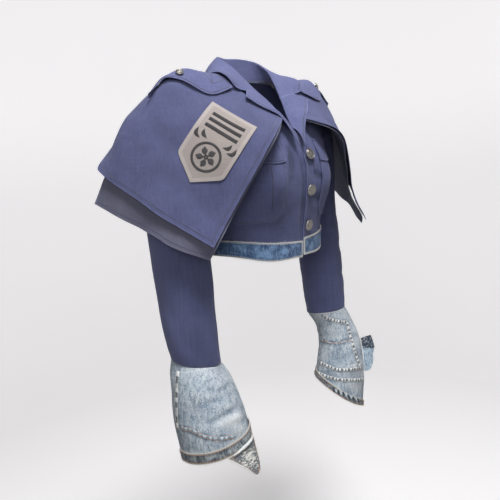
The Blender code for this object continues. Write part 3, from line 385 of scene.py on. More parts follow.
def thread(name, base, light):
    """Thread: fine twisted fibres along short lengths."""
    made = Material(name, 0.7, sheen=0.3)
    twist = made.twill(2600, (20, 10, 0))
    made.paint(base, (twist, 0.6, light))
    return made.bump(twist, 0.0002, 0.6)


def embroidery(name, base, light):
    """Satin stitch: close ribs of thread with a soft shine."""
    made = Material(name, 0.6, sheen=0.08)
    ribs = made.twill(1500, (0, 0, 10))
    made.paint(base, (ribs, 0.45, light), (made.noise(500.0, 3.0), 0.25, light))
    return made.bump(ribs, 0.0004, 0.8)


def aged_metal(name, base):
    """Aged silver with darkened hollows and light scratches."""
    made = Material(name, 0.34, metallic=1.0)
    stain = made.spots(260.0, 4.0, 0.40, 0.70)
    made.paint(base, (stain, 0.45, TARNISH), (made.kept("relief", 0.5, 0.0), 0.85, SILVER_HOLLOW))
    return made.bump(made.noise(900.0, 3.0), 0.0002, 0.4)


def floor_paint():
    """Pale paint that glows a little more up the wall."""
    made = Material("pale_floor", 0.95)
    made.paint(made.mix(made.spots(0.7, 2.0, 0.3, 0.7), FLOOR, FLOOR_LIGHT))
    rise = made.ramp(made.height(), CAD_BOX[0][2] - FLOOR_DROP, CAD_BOX[0][2] + CURVE_RADIUS)
    made.plug(made.shader, "Emission Color", (*FLOOR_GLOW_TINT, 1))
    glow = made.plus(made.times(rise, WALL_GLOW - FLOOR_GLOW), FLOOR_GLOW)
    made.plug(made.shader, "Emission Strength", glow)
    return made.bump(made.noise(300.0, 2.0), 0.0003, 0.2)


def read(mesh, key):
    """The places or the normals of a mesh's points."""
    flat = np.zeros(len(mesh.vertices) * 3)
    mesh.vertices.foreach_get(key, flat)
    return flat.reshape(-1, 3)


def keep(mesh, name, values):
    """Keeps a value at each of a mesh's points."""
    kept = mesh.attributes.get(name) or mesh.attributes.new(name, "FLOAT", "POINT")
    kept.data.foreach_set("value", values)


def placed(name, data):
    """A new object in the scene."""
    made = bpy.data.objects.new(name, data)
    bpy.context.scene.collection.objects.link(made)
    return made


def dressed(piece, node=None):
    """The piece riding on the jacket and the node that it stands for."""
    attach(piece, "root")
    if node:
        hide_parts(node)
    return piece


def ring_faces(rows, width):
    """The faces between rows of `width` points, each row a closed ring."""
    faces = []
    for r in range(rows - 1):
        for c in range(width):
            d = (c + 1) % width
            faces.append((r * width + c, r * width + d, (r + 1) * width + d, (r + 1) * width + c))
    return faces


def tube_faces(rows, width):
    """The faces of a tube of rings, closed at both ends."""
    ends = [tuple(range(width - 1, -1, -1)), tuple((rows - 1) * width + c for c in range(width))]
    return ring_faces(rows, width) + ends


def closest(paths, point):
    """The path that comes nearest to a point."""
    return min(paths, key=lambda path: min((p - Vector(point)).length for p in path))


def nearest_index(loop, point):
    return min(range(len(loop)), key=lambda i: (loop[i] - Vector(point)).length)


class Shell:
    """The outer side of one CAD wall, smoothed, creased and given back its thickness."""

    def __init__(self, name, core, thickness, finish, slot, levels, creases, ripple):
        self.thickness = thickness
        work = outer_faces(name, core, thickness)
        mesh = bpy.data.meshes.new(name)
        work.to_mesh(mesh)
        work.free()
        self.piece = placed(name + "_cloth", mesh)
        smooth = self.piece.modifiers.new("smooth", "SUBSURF")
        smooth.levels = levels
        smooth.render_levels = levels
        smooth.boundary_smooth = "PRESERVE_CORNERS"
        apply_modifiers(self.piece)
        self.crease(creases, ripple)
        self.mark()
        self.piece.data.materials.append(finish)
        dressed(self.piece, name)

    def lookup(self, point):
        """The nearest place on the cloth and its normal."""
        return self.tree.find_nearest(Vector(point))[:2]

    def away(self, point):
        return self.tree.find_nearest(point)[3]

    def crease(self, creases, ripple):
        """Presses soft folds and a fine ripple into the cloth, and keeps how far each point moved."""
        mesh = self.piece.data
        points = read(mesh, "co")
        moved = np.zeros(len(points))
        for a, b, width, depth in creases:
            along = np.clip((points - a) @ (b - a) / ((b - a) @ (b - a)), 0, 1)
            away = np.linalg.norm(points - (a + along[:, None] * (b - a)), axis=1)
            fade = np.sin(np.clip(along, 0.04, 0.96) * math.pi) ** 0.5
            moved -= depth * np.exp(-((away / width) ** 2)) * fade
        if ripple:
            for _ in range(RIPPLE_WAVES):
                wave = rng.normal(size=3)
                wave *= 2 * math.pi / (rng.uniform(*RIPPLE_LENGTHS) * np.linalg.norm(wave))
                moved += ripple / RIPPLE_WAVES ** 0.5 * np.sin(points @ wave + rng.uniform(0, 2 * math.pi))
        mesh.vertices.foreach_set("co", (points + read(mesh, "normal") * moved[:, None]).ravel())
        keep(mesh, "relief", moved)
        mesh.update()

    def mark(self):
        """Keeps each point's distance from the cloth's border, and the lookups that later pieces use."""
        work = bmesh.new()
        work.from_mesh(self.piece.data)
        self.tree = BVHTree.FromBMesh(work)
        self.borders = border_loops(work)
        work.free()
        self.measure("edge", [p for loop in self.borders for p in loop])
        keep(self.piece.data, "seam", np.full(len(self.piece.data.vertices), FAR))

    def measure(self, name, places):
        """Keeps each point's distance from the nearest of some places."""
        near = KDTree(len(places))
        for i, p in enumerate(places):
            near.insert(p, i)
        near.balance()
        keep(self.piece.data, name, [near.find(p)[2] for p in read(self.piece.data, "co")])

    def rest_on(self, under, gap):
        """Lifts what sinks into the cloth below, so that it lies `gap` above it."""
        points = read(self.piece.data, "co")
        for i, p in enumerate(points):
            place, normal = under.lookup(p)
            height = (Vector(p) - place).dot(normal)
            if height < gap and (Vector(p) - place).length < 4 * gap:
                points[i] = Vector(p) + normal * (gap - height)
        self.piece.data.vertices.foreach_set("co", points.ravel())
        self.piece.data.update()
        self.mark()

    def thicken(self):
        """Gives the cloth its thickness, inwards."""
        wall = self.piece.modifiers.new("thickness", "SOLIDIFY")
        wall.thickness = self.thickness * SHELL_SHARE
        wall.offset = -1
        apply_modifiers(self.piece)
        self.piece.data.shade_smooth()
        self.piece.data.set_sharp_from_angle(angle=math.radians(SHARP_FOLD))

    def seen_at(self, pixels):
        """The places on the cloth that the photograph shows at these pixels."""
        eye = Vector(CAMERA_PLACE)
        found = []
        for pixel in pixels:
            ray = photo_ray(pixel)
            place = self.tree.ray_cast(eye, ray)[0]
            if place is None:
                guess = eye + ray * SEARCH_START
                for _ in range(SEARCH_STEPS):
                    place = self.lookup(guess)[0]
                    guess = eye + ray * (place - eye).dot(ray)
            found.append(place)
        return found

    def laid(self, path):
        """A path brought down on the cloth."""
        return [self.lookup(p)[0] for p in path]

    def inset_border(self, start, end, inset, way=None):
        """The cloth's border from near `start` to near `end`, drawn in by `inset`, past the point `way`."""
        loop = closest(self.borders, start)
        first, last, n = nearest_index(loop, start), nearest_index(loop, end), len(loop)
        forward = [loop[(first + i) % n] for i in range((last - first) % n + 1)]
        backward = [loop[(first - i) % n] for i in range((first - last) % n + 1)]
        path = closest((forward, backward), way) if way else min(forward, backward, key=len)
        return self.inset_path(path, inset)

    def inset_loop(self, near, inset):
        loop = closest(self.borders, near)
        return self.inset_path(loop + loop[:1], inset)

    def inset_path(self, path, inset):
        """The path moved along the cloth, away from its border."""
        centre = Vector(read(self.piece.data, "co").mean(axis=0))
        points, _ = resampled(path, 0.004)
        moved = []
        for i, p in enumerate(points):
            ahead = points[min(i + 1, len(points) - 1)] - points[max(i - 1, 0)]
            side = self.lookup(p)[1].cross(ahead).normalized()
            trial = [self.away(p + side * s * inset) for s in (1, -1)]
            if abs(trial[0] - trial[1]) < 0.2 * inset:
                sign = 1 if side.dot(centre - p) > 0 else -1
            else:
                sign = 1 if trial[0] < trial[1] else -1
            moved.append(self.lookup(p + side * sign * inset)[0])
        return moved


class RaisedShell:
    """The lookup of a cloth raised by the height of a seam that lies on it."""

    def __init__(self, shell, lift):
        self.shell = shell
        self.lift = lift

    def lookup(self, point):
        place, normal = self.shell.lookup(point)
        return place + normal * self.lift, normal


def apply_modifiers(piece):
    """Makes the object's modifiers part of its mesh."""
    bpy.context.view_layer.update()
    ready = piece.evaluated_get(bpy.context.evaluated_depsgraph_get())
    mesh = bpy.data.meshes.new_from_object(ready)
    old = piece.data
    piece.modifiers.clear()
    piece.data = mesh
    mesh.name = piece.name
    bpy.data.meshes.remove(old)


def outer_faces(name, core, thickness):
    """Only the outer faces of a CAD wall. A rim face has much more cloth behind it than the thickness."""
    work = bmesh.new()
    work.from_mesh(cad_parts[name].data)
    bmesh.ops.remove_doubles(work, verts=work.verts, dist=WELD)
    work.normal_update()
    tree = BVHTree.FromBMesh(work)
    rims = []
    for face in work.faces:
        start = face.calc_center_median() - face.normal * SKIN
        depth = tree.ray_cast(start, -face.normal)[3]
        if depth is None or depth > RIM_DEPTH * thickness:
            rims.append(face)
    bmesh.ops.delete(work, geom=rims, context="FACES_ONLY")

    def outwards(part):
        ways = [(f, (f.calc_center_median() - Vector(core)).normalized()) for f in part]
        return sum(f.calc_area() * f.normal.dot(way) for f, way in ways)

    parts = face_parts(work, TIGHT_FOLD if name in TIGHTLY_FOLDED else OPEN_FOLD)
    best = max(parts, key=outwards)
    gone = [f for part in parts if part is not best for f in part]
    bmesh.ops.delete(work, geom=gone, context="FACES")
    bmesh.ops.delete(work, geom=[v for v in work.verts if not v.link_faces], context="VERTS")
    bmesh.ops.delete(work, geom=[e for e in work.edges if not e.link_faces], context="EDGES")
    fold, shape = math.radians(JOIN_FOLD), math.radians(JOIN_SHAPE)
    bmesh.ops.join_triangles(work, faces=work.faces, angle_face_threshold=fold, angle_shape_threshold=shape)
    for face in work.faces:
        face.smooth = True
    return work


def face_parts(work, limit):
    """The groups of faces that edges join, none of them folded by more than `limit` degrees."""
    most = math.radians(limit)
    left = set(work.faces)
    parts = []
    while left:
        part = [left.pop()]
        for face in part:
            for edge in face.edges:
                for other in edge.link_faces:
                    if other in left and face.normal.angle(other.normal, math.pi) < most:
                        left.remove(other)
                        part.append(other)
        parts.append(part)
    return parts


def border_loops(work):
    """The borders of an open mesh, each an ordered loop of points."""
    links = {}
    for edge in work.edges:
        if len(edge.link_faces) == 1:
            a, b = edge.verts
            links.setdefault(a.index, []).append(b)
            links.setdefault(b.index, []).append(a)
    work.verts.ensure_lookup_table()
    loops, done = [], set()
    for start in links:
        if start in done:
            continue
        loop = [work.verts[start]]
        done.add(start)
        while True:
            ahead = [v for v in links[loop[-1].index] if v.index not in done]
            if not ahead:
                break
            loop.append(ahead[0])
            done.add(ahead[0].index)
        loops.append([v.co.copy() for v in loop])
    return loops


def resampled(path, step):
    """Points at even steps along a path, and the length between them."""
    path = [Vector(p) for p in path]
    flat = np.array([tuple(p) for p in path])
    lengths = np.concatenate([[0], np.cumsum([(b - a).length for a, b in zip(path, path[1:])])])
    count = max(int(round(lengths[-1] / step)), 1)
    wanted = np.linspace(0, lengths[-1], count + 1)
    found = np.stack([np.interp(wanted, lengths, flat[:, k]) for k in range(3)], axis=1)
    return [Vector(p) for p in found], lengths[-1] / count


def rounded(path, step=0.004):
    """A smooth curve through the points of a path."""
    path = np.array([tuple(p) for p in path])
    keys = np.concatenate([[0], np.cumsum(np.linalg.norm(np.diff(path, axis=0), axis=1))])
    slopes = np.gradient(path, keys, axis=0)
    made = []
    for s in np.linspace(0, keys[-1], max(int(keys[-1] / step), 2) + 1):
        i = min(int(np.searchsorted(keys, s, side="right")) - 1, len(keys) - 2)
        h = keys[i + 1] - keys[i]
        t = (s - keys[i]) / h
        a = (1 + 2 * t) * (1 - t) ** 2 * path[i] + t * (1 - t) ** 2 * h * slopes[i]
        b = t * t * (3 - 2 * t) * path[i + 1] + t * t * (t - 1) * h * slopes[i + 1]
        made.append(Vector(a + b))
    return made


class Collector:
    """Many small forms gathered in one mesh."""

    def __init__(self):
        self.points = []
        self.faces = []
        self.values = []

    def add(self, points, faces, value=0.0):
        base = len(self.points)
        self.points += [tuple(p) for p in points]
        self.faces += [tuple(base + i for i in f) for f in faces]
        self.values += value if isinstance(value, list) else [value] * len(points)

    def make(self, name, finish, slot, attribute="pucker"):
        mesh = bpy.data.meshes.new(name)
        mesh.from_pydata(self.points, [], self.faces)
        mesh.validate()
        keep(mesh, attribute, self.values)
        mesh.shade_smooth()
        mesh.materials.append(finish)
        return dressed(placed(name, mesh))


STITCH_RING = ((0.0, 1.0), (1.0, 0.0), (0.0, -0.3), (-1.0, 0.0))


def stitches(collector, shell, path, kind=NAVY_ROW):
    """A row of stitches along a path on the cloth."""
    pitch, fill, width, height = kind
    points, step = resampled(path, pitch)
    for a, b in zip(points, points[1:]):
        place, normal = shell.lookup((a + b) / 2)
        ahead = (b - a).normalized()
        side = normal.cross(ahead).normalized()
        half = step * fill / 2
        made = [place - ahead * half]
        for share in (-0.6, 0.6):
            for across, up in STITCH_RING:
                made.append(place + ahead * half * share + side * across * width + normal * up * height)
        made.append(place + ahead * half)
        faces = []
        for k in range(4):
            j = (k + 1) % 4
            faces += [(0, 1 + j, 1 + k), (1 + k, 1 + j, 5 + j, 5 + k), (5 + k, 5 + j, 9)]
        collector.add(made, faces)


# Section of a ribbon: shares of its half width and of its height
RIBBON_SECTION = ((-1.0, -0.35), (-0.82, 0.85), (0.0, 1.0), (0.82, 0.85), (1.0, -0.35))


def ribbon(collector, shell, path, half_width, height, pucker=0.0, beat=0.006, taper=False, step=0.0022):
    """A raised strip laid along a path on the cloth; `pucker` makes it bulge in beats."""
    points, _ = resampled(path, step)
    made, values = [], []
    count = len(points)
    run = 0.0
    for i, p in enumerate(points):
        ahead = (points[min(i + 1, count - 1)] - points[max(i - 1, 0)]).normalized()
        place, normal = shell.lookup(p)
        side = normal.cross(ahead).normalized()
        if i:
            run += (p - points[i - 1]).length
        bulge = 0.5 + 0.5 * math.sin(2 * math.pi * run / beat + 0.8 * math.sin(17.0 * run / beat / 6))
        wide = half_width * (math.sin(math.pi * min(max(i / (count - 1), 0.03), 0.97)) if taper else 1.0)
        tall = height * (1 + pucker * (bulge - 0.5))
        for across, up in RIBBON_SECTION:
            made.append(shell.lookup(place + side * across * wide)[0] + normal * up * tall)
            values.append(bulge)
    collector.add(made, tube_faces(count, len(RIBBON_SECTION)), values)


def fray(collector, shell, loop, density, longest, thickness=0.00016):
    """Loose thread ends along a raw edge."""
    points, _ = resampled(loop + loop[:1], 1.0 / density)
    for i, p in enumerate(points[:-1]):
        ahead = (points[i + 1] - p).normalized()
        inner, normal = shell.lookup(p)
        near = nearest_index(loop, inner)
        out = normal.cross(loop[(near + 1) % len(loop)] - loop[near - 1]).normalized()
        if shell.away(p + out * 0.003) <= shell.away(p - out * 0.003):
            out = -out
        length = longest * (0.25 + 0.75 * rng.random() ** 2)
        lean = ahead * rng.normal() * 0.55 + normal * rng.normal() * 0.25
        tip = p + (out + lean).normalized() * length
        bend = p + (out * 0.6 + lean * 0.2).normalized() * length * 0.5 + normal * rng.uniform(0, 0.0004)
        w = ahead * thickness * rng.uniform(0.8, 1.8)
        up = normal * thickness
        root = p - out * 0.0006
        made = [root - w, root + w, root + up, bend - w, bend + w, bend + up, tip]
        faces = [(0, 1, 4, 3), (1, 2, 5, 4), (2, 0, 3, 5), (3, 4, 6), (4, 5, 6), (5, 3, 6), (0, 2, 1)]
        collector.add(made, faces, float(rng.random()))


# Places inside the jacket that the outer sides of its cloths face away from, and the cape's corners, on the
# wearer's left
BODY_CORE = (0, 0, -0.2)
BAND_CORE = (0, 0, -0.38)
COLLAR_CORE = (0, 0, -0.05)
LAPEL_CORE = (0.05, 0, -0.1)
SLEEVE_CORE = (0.226, 0.026, -0.35)
CAPE_CORE = (0.12, 0.0, -0.30)
CUFF_CORE = (0.225, -0.040, -0.71)
PATCH_CORE = (-0.12, 0.0, -0.30)
GUSSET_CORE = (-0.23, -0.04, -0.78)
TAB_CORE = (0.23, 0.1, -0.70)
CAPE_NECK_FRONT = (0.028, -0.116, -0.101)
CAPE_NECK_BACK = (0.060, 0.098, -0.002)
CAPE_LOW_BACK = (0.345, 0.115, -0.179)

# Soft creases on the wearer's left: start, end, width and depth; a negative depth is a ridge. Those named left
# or right, and those of the back and the collar, lie where they say
CAPE_CREASES = (
    ((0.150, -0.060, -0.060), (0.285, -0.020, -0.190), 0.022, 0.0022),
    ((0.120, -0.110, -0.115), (0.235, -0.085, -0.300), 0.026, 0.0018),
    ((0.200, 0.030, -0.020), (0.330, 0.040, -0.180), 0.020, -0.0020),
    ((0.130, 0.070, -0.010), (0.310, 0.110, -0.150), 0.024, 0.0025),
    ((0.250, -0.060, -0.220), (0.290, -0.060, -0.320), 0.012, -0.0016),
)
LOWER_CREASES = (
    ((0.290, -0.060, -0.250), (0.300, -0.060, -0.340), 0.009, 0.0030),
    ((0.330, 0.010, -0.210), (0.342, 0.015, -0.290), 0.008, 0.0040),
    ((0.340, 0.080, -0.170), (0.362, 0.090, -0.250), 0.010, -0.0025),
)
FRONT_CREASES = (
    ((0.150, -0.030, -0.180), (0.110, -0.090, -0.215), 0.008, 0.0018),
    ((0.152, -0.010, -0.215), (0.120, -0.080, -0.260), 0.009, 0.0016),
    ((0.030, -0.135, -0.300), (0.080, -0.125, -0.360), 0.014, 0.0020),
    ((0.060, -0.120, -0.385), (0.075, -0.130, -0.325), 0.010, -0.0015),
    ((0.040, -0.105, -0.110), (0.075, -0.120, -0.165), 0.012, 0.0016),
)
LEFT_FRONT_CREASES = (
    ((0.012, -0.138, -0.140), (0.034, -0.142, -0.215), 0.010, 0.0090),
    ((0.020, -0.140, -0.218), (0.064, -0.140, -0.236), 0.009, 0.0035),
    ((0.024, -0.135, -0.272), (0.072, -0.135, -0.288), 0.010, 0.0030),
)
RIGHT_FRONT_CREASES = (
    ((0.001, -0.140, -0.150), (0.003, -0.120, -0.400), 0.007, 0.0042),
    ((-0.016, -0.135, -0.135), (-0.036, -0.140, -0.225), 0.010, 0.0085),
    ((-0.044, -0.138, -0.160), (-0.060, -0.140, -0.230), 0.014, -0.0040),
    ((-0.026, -0.135, -0.232), (-0.082, -0.130, -0.248), 0.010, 0.0030),
)
BACK_CREASES = (
    ((0.120, 0.085, -0.150), (0.060, 0.110, -0.210), 0.013, 0.0025),
    ((0.140, 0.050, -0.230), (0.070, 0.100, -0.270), 0.012, 0.0020),
    ((0.020, 0.100, -0.330), (0.090, 0.090, -0.350), 0.012, 0.0026),
    ((-0.120, 0.085, -0.160), (-0.070, 0.105, -0.225), 0.013, 0.0025),
    ((-0.140, 0.050, -0.240), (-0.060, 0.100, -0.285), 0.012, 0.0022),
    ((-0.010, 0.110, -0.050), (-0.015, 0.110, -0.130), 0.016, 0.0018),
)
SLEEVE_CREASES = (
    ((0.270, -0.035, -0.330), (0.215, -0.050, -0.360), 0.010, 0.0028),
    ((0.275, -0.010, -0.400), (0.220, -0.055, -0.450), 0.012, 0.0030),
    ((0.285, 0.010, -0.470), (0.240, -0.055, -0.500), 0.010, 0.0022),
    ((0.190, 0.060, -0.330), (0.270, 0.060, -0.370), 0.012, 0.0034),
    ((0.180, 0.050, -0.450), (0.260, 0.060, -0.480), 0.011, 0.0030),
    ((0.240, -0.060, -0.555), (0.280, -0.020, -0.530), 0.008, 0.0018),
    ((0.200, 0.055, -0.540), (0.250, 0.055, -0.560), 0.009, 0.0022),
)
STRAP_CREASES = (
    ((0.200, 0.030, 0.004), (0.292, 0.012, -0.058), 0.014, 0.0080),
)
COLLAR_CREASES = (
    ((0.070, 0.080, 0.020), (0.090, 0.040, 0.012), 0.010, 0.0010),
    ((-0.070, 0.080, 0.020), (-0.095, 0.030, 0.010), 0.010, 0.0010),
)
RIGHT_CUFF_CREASES = (
    ((-0.275, -0.095, -0.690), (-0.190, -0.120, -0.672), 0.006, 0.0026),
    ((-0.268, -0.105, -0.702), (-0.185, -0.122, -0.690), 0.006, -0.0022),
    ((-0.262, -0.112, -0.716), (-0.180, -0.118, -0.706), 0.006, 0.0024),
    ((-0.285, -0.070, -0.660), (-0.240, -0.105, -0.650), 0.007, 0.0016),
    ((-0.200, -0.100, -0.630), (-0.172, -0.090, -0.680), 0.008, 0.0018),
    ((-0.290, -0.040, -0.730), (-0.285, -0.020, -0.660), 0.009, 0.0020),
    ((-0.190, 0.020, -0.690), (-0.260, 0.030, -0.675), 0.008, 0.0026),
    ((-0.185, 0.025, -0.650), (-0.250, 0.032, -0.640), 0.007, 0.0020),
)
LEFT_CUFF_CREASES = (
    ((0.190, -0.080, -0.640), (0.240, -0.075, -0.650), 0.007, 0.0018),
    ((0.170, -0.080, -0.690), (0.225, -0.098, -0.680), 0.007, 0.0020),
    ((0.170, -0.085, -0.725), (0.225, -0.105, -0.720), 0.006, -0.0016),
    ((0.270, -0.060, -0.640), (0.275, -0.060, -0.700), 0.007, 0.0016),
    ((0.170, 0.010, -0.680), (0.240, 0.025, -0.690), 0.008, 0.0026),
    ((0.160, 0.010, -0.740), (0.230, 0.025, -0.750), 0.008, 0.0022),
)

# Height where the belt loop tab turns from dark to pale, reach of the white patch on the gusset, and how far
# a strap lies above the cape
TAB_SPLIT = -0.692
GUSSET_PATCH = 0.034
STRAP_GAP = 0.0024

# Neck seam inside the collar and the middle of the neck, and its tape: rise above it, drop below it, its near
# and its far side
NECK_SEAM_END = (0.056, -0.020, -0.020)
NECK_SEAM_BACK = (0.0, 0.083, 0.014)
NECK_MIDDLE = (0, 0.015)
TAPE_RISE = 0.002
TAPE_DROP = 0.007
TAPE_NEAR = 0.0010
TAPE_FAR = 0.0018

# Shoulder seam on the wearer's left, at the neck and at the sleeve, and the loose thread loop beside the
# right shoulder button, in the photograph's pixels
SHOULDER_SEAM = ((0.066, 0.004, -0.004), (0.190, 0.012, -0.018))
LOOP_PIXELS = ((179.2, 73.5), (181.0, 70.4), (183.0, 71.2), (182.4, 74.0))

# Corners of the crossed box on an epaulette, and the inner seam of a sleeve, on the wearer's left
STRAP_BOX = ((0.118, -0.038, -0.02), (0.150, -0.040, -0.03), (0.148, 0.018, 0.006), (0.118, 0.018, 0.004))
INNER_SEAM = ((0.200, 0.085, -0.210), (0.200, 0.085, -0.350), (0.200, 0.070, -0.470), (0.200, 0.050, -0.575))

# Cloths of both sides: core, thickness, finish, slot, levels of smoothing, creases of both sides and ripple
SIDE_CLOTHS = {
    "front": (BODY_CORE, TWILL, "navy", "navy_twill", 3, FRONT_CREASES, 0.0004),
    "sleeve": (SLEEVE_CORE, TWILL, "navy", "navy_twill", 2, SLEEVE_CREASES, 0.0008),
    "pocket": (BODY_CORE, TWILL, "navy", "navy_twill", 3, (), 0),
    "pocket_flap": (BODY_CORE, TWILL, "navy", "navy_twill", 3, (), 0),
    "cape_upper": (CAPE_CORE, CAPE_CLOTH, "navy", "navy_twill", 2, CAPE_CREASES, 0.0006),
    "cape_lower": (CAPE_CORE, CAPE_CLOTH, "slate", "slate_cloth", 2, LOWER_CREASES, 0.0005),
    # The epaulettes and lapels take the lighter navy: painted light on their upturned faces
    "epaulette": (CAPE_CORE, TWILL, "lit_navy", "navy_twill", 3, STRAP_CREASES, 0),
    "lapel": (LAPEL_CORE, TWILL, "lit_navy", "navy_twill", 3, (), 0),
    "cuff": (CUFF_CORE, DENIM, "denim", "light_denim", 3, (), 0.0007),
    "cuff_strip": (CUFF_CORE, DENIM, "strip", "dark_denim", 3, (), 0.0006),
}
# Creases that only one side has, as they lie
OWN_CREASES = {
    "front_left": LEFT_FRONT_CREASES,
    "front_right": RIGHT_FRONT_CREASES,
    "cuff_left": LEFT_CUFF_CREASES,
    "cuff_right": RIGHT_CUFF_CREASES,
}
FIRST_CLOTHS = {
    "back": (BODY_CORE, TWILL, "navy", "navy_twill", 2, BACK_CREASES, 0.0006),
    # The collar takes the lighter navy: painted light on its upturned face
    "collar": (COLLAR_CORE, TWILL, "lit_navy", "navy_twill", 2, COLLAR_CREASES, 0.0003),
}
LAST_CLOTHS = {
    "shoulder_patch": (PATCH_CORE, PATCH_CLOTH, "felt", "patch_cloth", 3, (), 0),
    "cuff_gusset_right": (GUSSET_CORE, DENIM, "torn", "dark_denim", 3, (), 0.0008),
    "cuff_tab_left": (TAB_CORE, TAB_CLOTH, "tab", "light_denim", 2, (), 0),
    "waistband_left": (BAND_CORE, DENIM, "band", "band_denim", 3, (), 0.0006),
    "waistband_right": (BAND_CORE, DENIM, "band", "band_denim", 3, (), 0.0006),
    "waistband_back": (BAND_CORE, DENIM, "band", "band_denim", 3, (), 0.0006),
}


def on_side(point, side):
    return (side * point[0], point[1], point[2])


def sided(creases, side=1):
    """Creases of the wearer's left, or their mirror on the right."""
    return [(np.array(on_side(a, side)), np.array(on_side(b, side)), *form) for a, b, *form in creases]


def build_cloth(mats):
    """Every cloth piece of the jacket as a shell on its CAD wall."""
    shells = {}

    def cloth(name, form, side=1):
        core, thickness, finish, slot, levels, creases, ripple = form
        folds = sided(creases, side) + sided(OWN_CREASES.get(name, ()))
        shells[name] = Shell(name, on_side(core, side), thickness, mats[finish], slot, levels, folds, ripple)

    for name, form in FIRST_CLOTHS.items():
        cloth(name, form)
    for end, side in SIDES:
        for name, form in SIDE_CLOTHS.items():
            cloth(f"{name}_{end}", form, side)
    for name, form in LAST_CLOTHS.items():
        cloth(name, form)
    for end, _ in SIDES:
        shells[f"epaulette_{end}"].rest_on(shells[f"cape_upper_{end}"], STRAP_GAP)
    return shells


def sew_navy(shells, mats):
    """The navy topstitching of the body, collar, capes and epaulettes, each row over a strip of painted seam
    shade; painted shade down each pocket pleat, and the loose thread loop by the right shoulder button.
    """
    sewn, seam_shade_and_loop = Collector(), Collector()

    def sew(shell, path):
        stitches(sewn, shell, path)
        # A dark strip of painted shade under each row stands in for its groove
        ribbon(seam_shade_and_loop, shell, path, 0.0010, 0.00022)

    def row(name, start, end, inset, way=None):
        sew(shells[name], shells[name].inset_border(start, end, inset, way))

    row("front_left", (0.009, -0.130, -0.150), (0.009, -0.115, -0.398), 0.0055)
    row("collar", (0.103, -0.050, -0.036), (-0.103, -0.050, -0.036), 0.0055, (0.0, 0.118, 0.014))
    for name, side in SIDES:
        def at(*point):
            return on_side(point, side)

        edge = at(0.055, -0.13, -0.190), at(0.146, -0.08, -0.190)
        row(f"pocket_{name}", *edge, 0.0040, at(0.100, -0.13, -0.316))
        flap = at(0.053, -0.12, -0.146), at(0.149, -0.07, -0.146)
        row(f"pocket_flap_{name}", *flap, 0.0045, at(0.100, -0.14, -0.194))
        pocket = shells[f"pocket_{name}"]
        # A dark line of painted shade down the pocket's pleat
        pleat = resampled([at(0.100, -0.15, -0.196), at(0.100, -0.15, -0.306)], 0.004)[0]
        ribbon(seam_shade_and_loop, pocket, pocket.laid(pleat), 0.0012, 0.00026)
        lapel = at(0.095, -0.080, -0.055), at(0.008, -0.141, -0.160)
        row(f"lapel_{name}", *lapel, 0.0055, at(0.050, -0.115, -0.095))
        for layer, inset in (("upper", 0.0095), ("lower", 0.0080)):
            row(f"cape_{layer}_{name}", at(*CAPE_NECK_FRONT), at(*CAPE_NECK_BACK), inset, at(*CAPE_LOW_BACK))
        strap = shells[f"epaulette_{name}"]
        sew(strap, strap.inset_loop(at(0.112, -0.012, 0.0), 0.0045))
        box = [on_side(p, side) for p in STRAP_BOX]
        for a, b in ((0, 1), (1, 2), (2, 3), (3, 0), (0, 2), (1, 3)):
            sew(strap, strap.laid(resampled([box[a], box[b]], 0.004)[0]))
        sleeve = shells[f"sleeve_{name}"]
        sew(sleeve, sleeve.inset_loop(at(0.226, -0.05, -0.59), 0.0035))
        inner = rounded([on_side(p, side) for p in INNER_SEAM])
        for shift in (-0.0015, 0.0015):
            sew(sleeve, sleeve.laid([p + Vector((0, shift, 0)) for p in inner]))
        row(f"front_{name}", *(on_side(p, side) for p in SHOULDER_SEAM), 0.004)
    # The loose thread loop beside the right shoulder button goes in with the painted shade strips
    strap = shells["epaulette_right"]
    ribbon(seam_shade_and_loop, strap, rounded(strap.seen_at(LOOP_PIXELS), 0.001), 0.0008, 0.0016, step=0.001)
    for _, side in SIDES:
        row("back", *(on_side(p, side) for p in SHOULDER_SEAM), 0.004)
    sewn.make("navy_stitching", mats["navy_thread"], "navy_twill")
    # The painted seam shade and the thread loop, in the dark shadow navy
    seam_shade_and_loop.make("painted_seam_shade_and_thread_loop", mats["navy_shadow"], "navy_twill")


def neck_tape(shells, mats):
    """A narrow tape that covers the neck seam inside the collar."""
    path = shells["collar"].inset_border(NECK_SEAM_END, on_side(NECK_SEAM_END, -1), 0.0, NECK_SEAM_BACK)
    points = []
    for p in path:
        inward = Vector((NECK_MIDDLE[0] - p.x, NECK_MIDDLE[1] - p.y, 0)).normalized()
        top, low = p + Vector((0, 0, TAPE_RISE)), p - Vector((0, 0, TAPE_DROP))
        points += [top + inward * TAPE_NEAR, low + inward * TAPE_NEAR]
        points += [low + inward * TAPE_FAR, top + inward * TAPE_FAR]
    made = Collector()
    made.add(points, tube_faces(len(path), 4))
    tape = made.make("neck_tape", mats["navy_shadow"], "navy_twill")


# Seams of the cuffs as the photograph shows them, in its pixels: path, half width and height in metres, the
# beat of its puckers, and the thread
RIGHT_CUFF_SEAMS = (
    (((178.2, 371), (176.8, 386), (176.4, 402), (176.8, 416), (177.8, 430)), 0.0050, 0.0012, 0.026, "cream"),
    (((181.5, 428), (192, 430.5), (204, 436.5), (218, 438.6), (233, 436.5)), 0.0034, 0.0008, 0.011, "tan"),
)
LEFT_CUFF_SEAMS = (
    (((323.2, 316.5), (331, 319.5), (339, 321.5), (347, 322.5)), 0.0046, 0.0011, 0.008, "cream"),
    (((347, 322.5), (350.5, 337), (355, 352), (360, 367)), 0.0046, 0.0011, 0.011, "cream"),
    (((321.8, 340.5), (331, 342.8), (341, 342.5), (350, 339.5)), 0.0016, 0.0006, 0.020, "tan"),
    (((319, 362), (328, 366), (338, 369.5), (350, 369.5), (361, 367.5)), 0.0040, 0.0010, 0.009, "cream"),
    (((317.5, 372), (327, 376.5), (338, 379.5), (350, 380), (363, 379)), 0.0040, 0.0010, 0.009, "cream"),
)
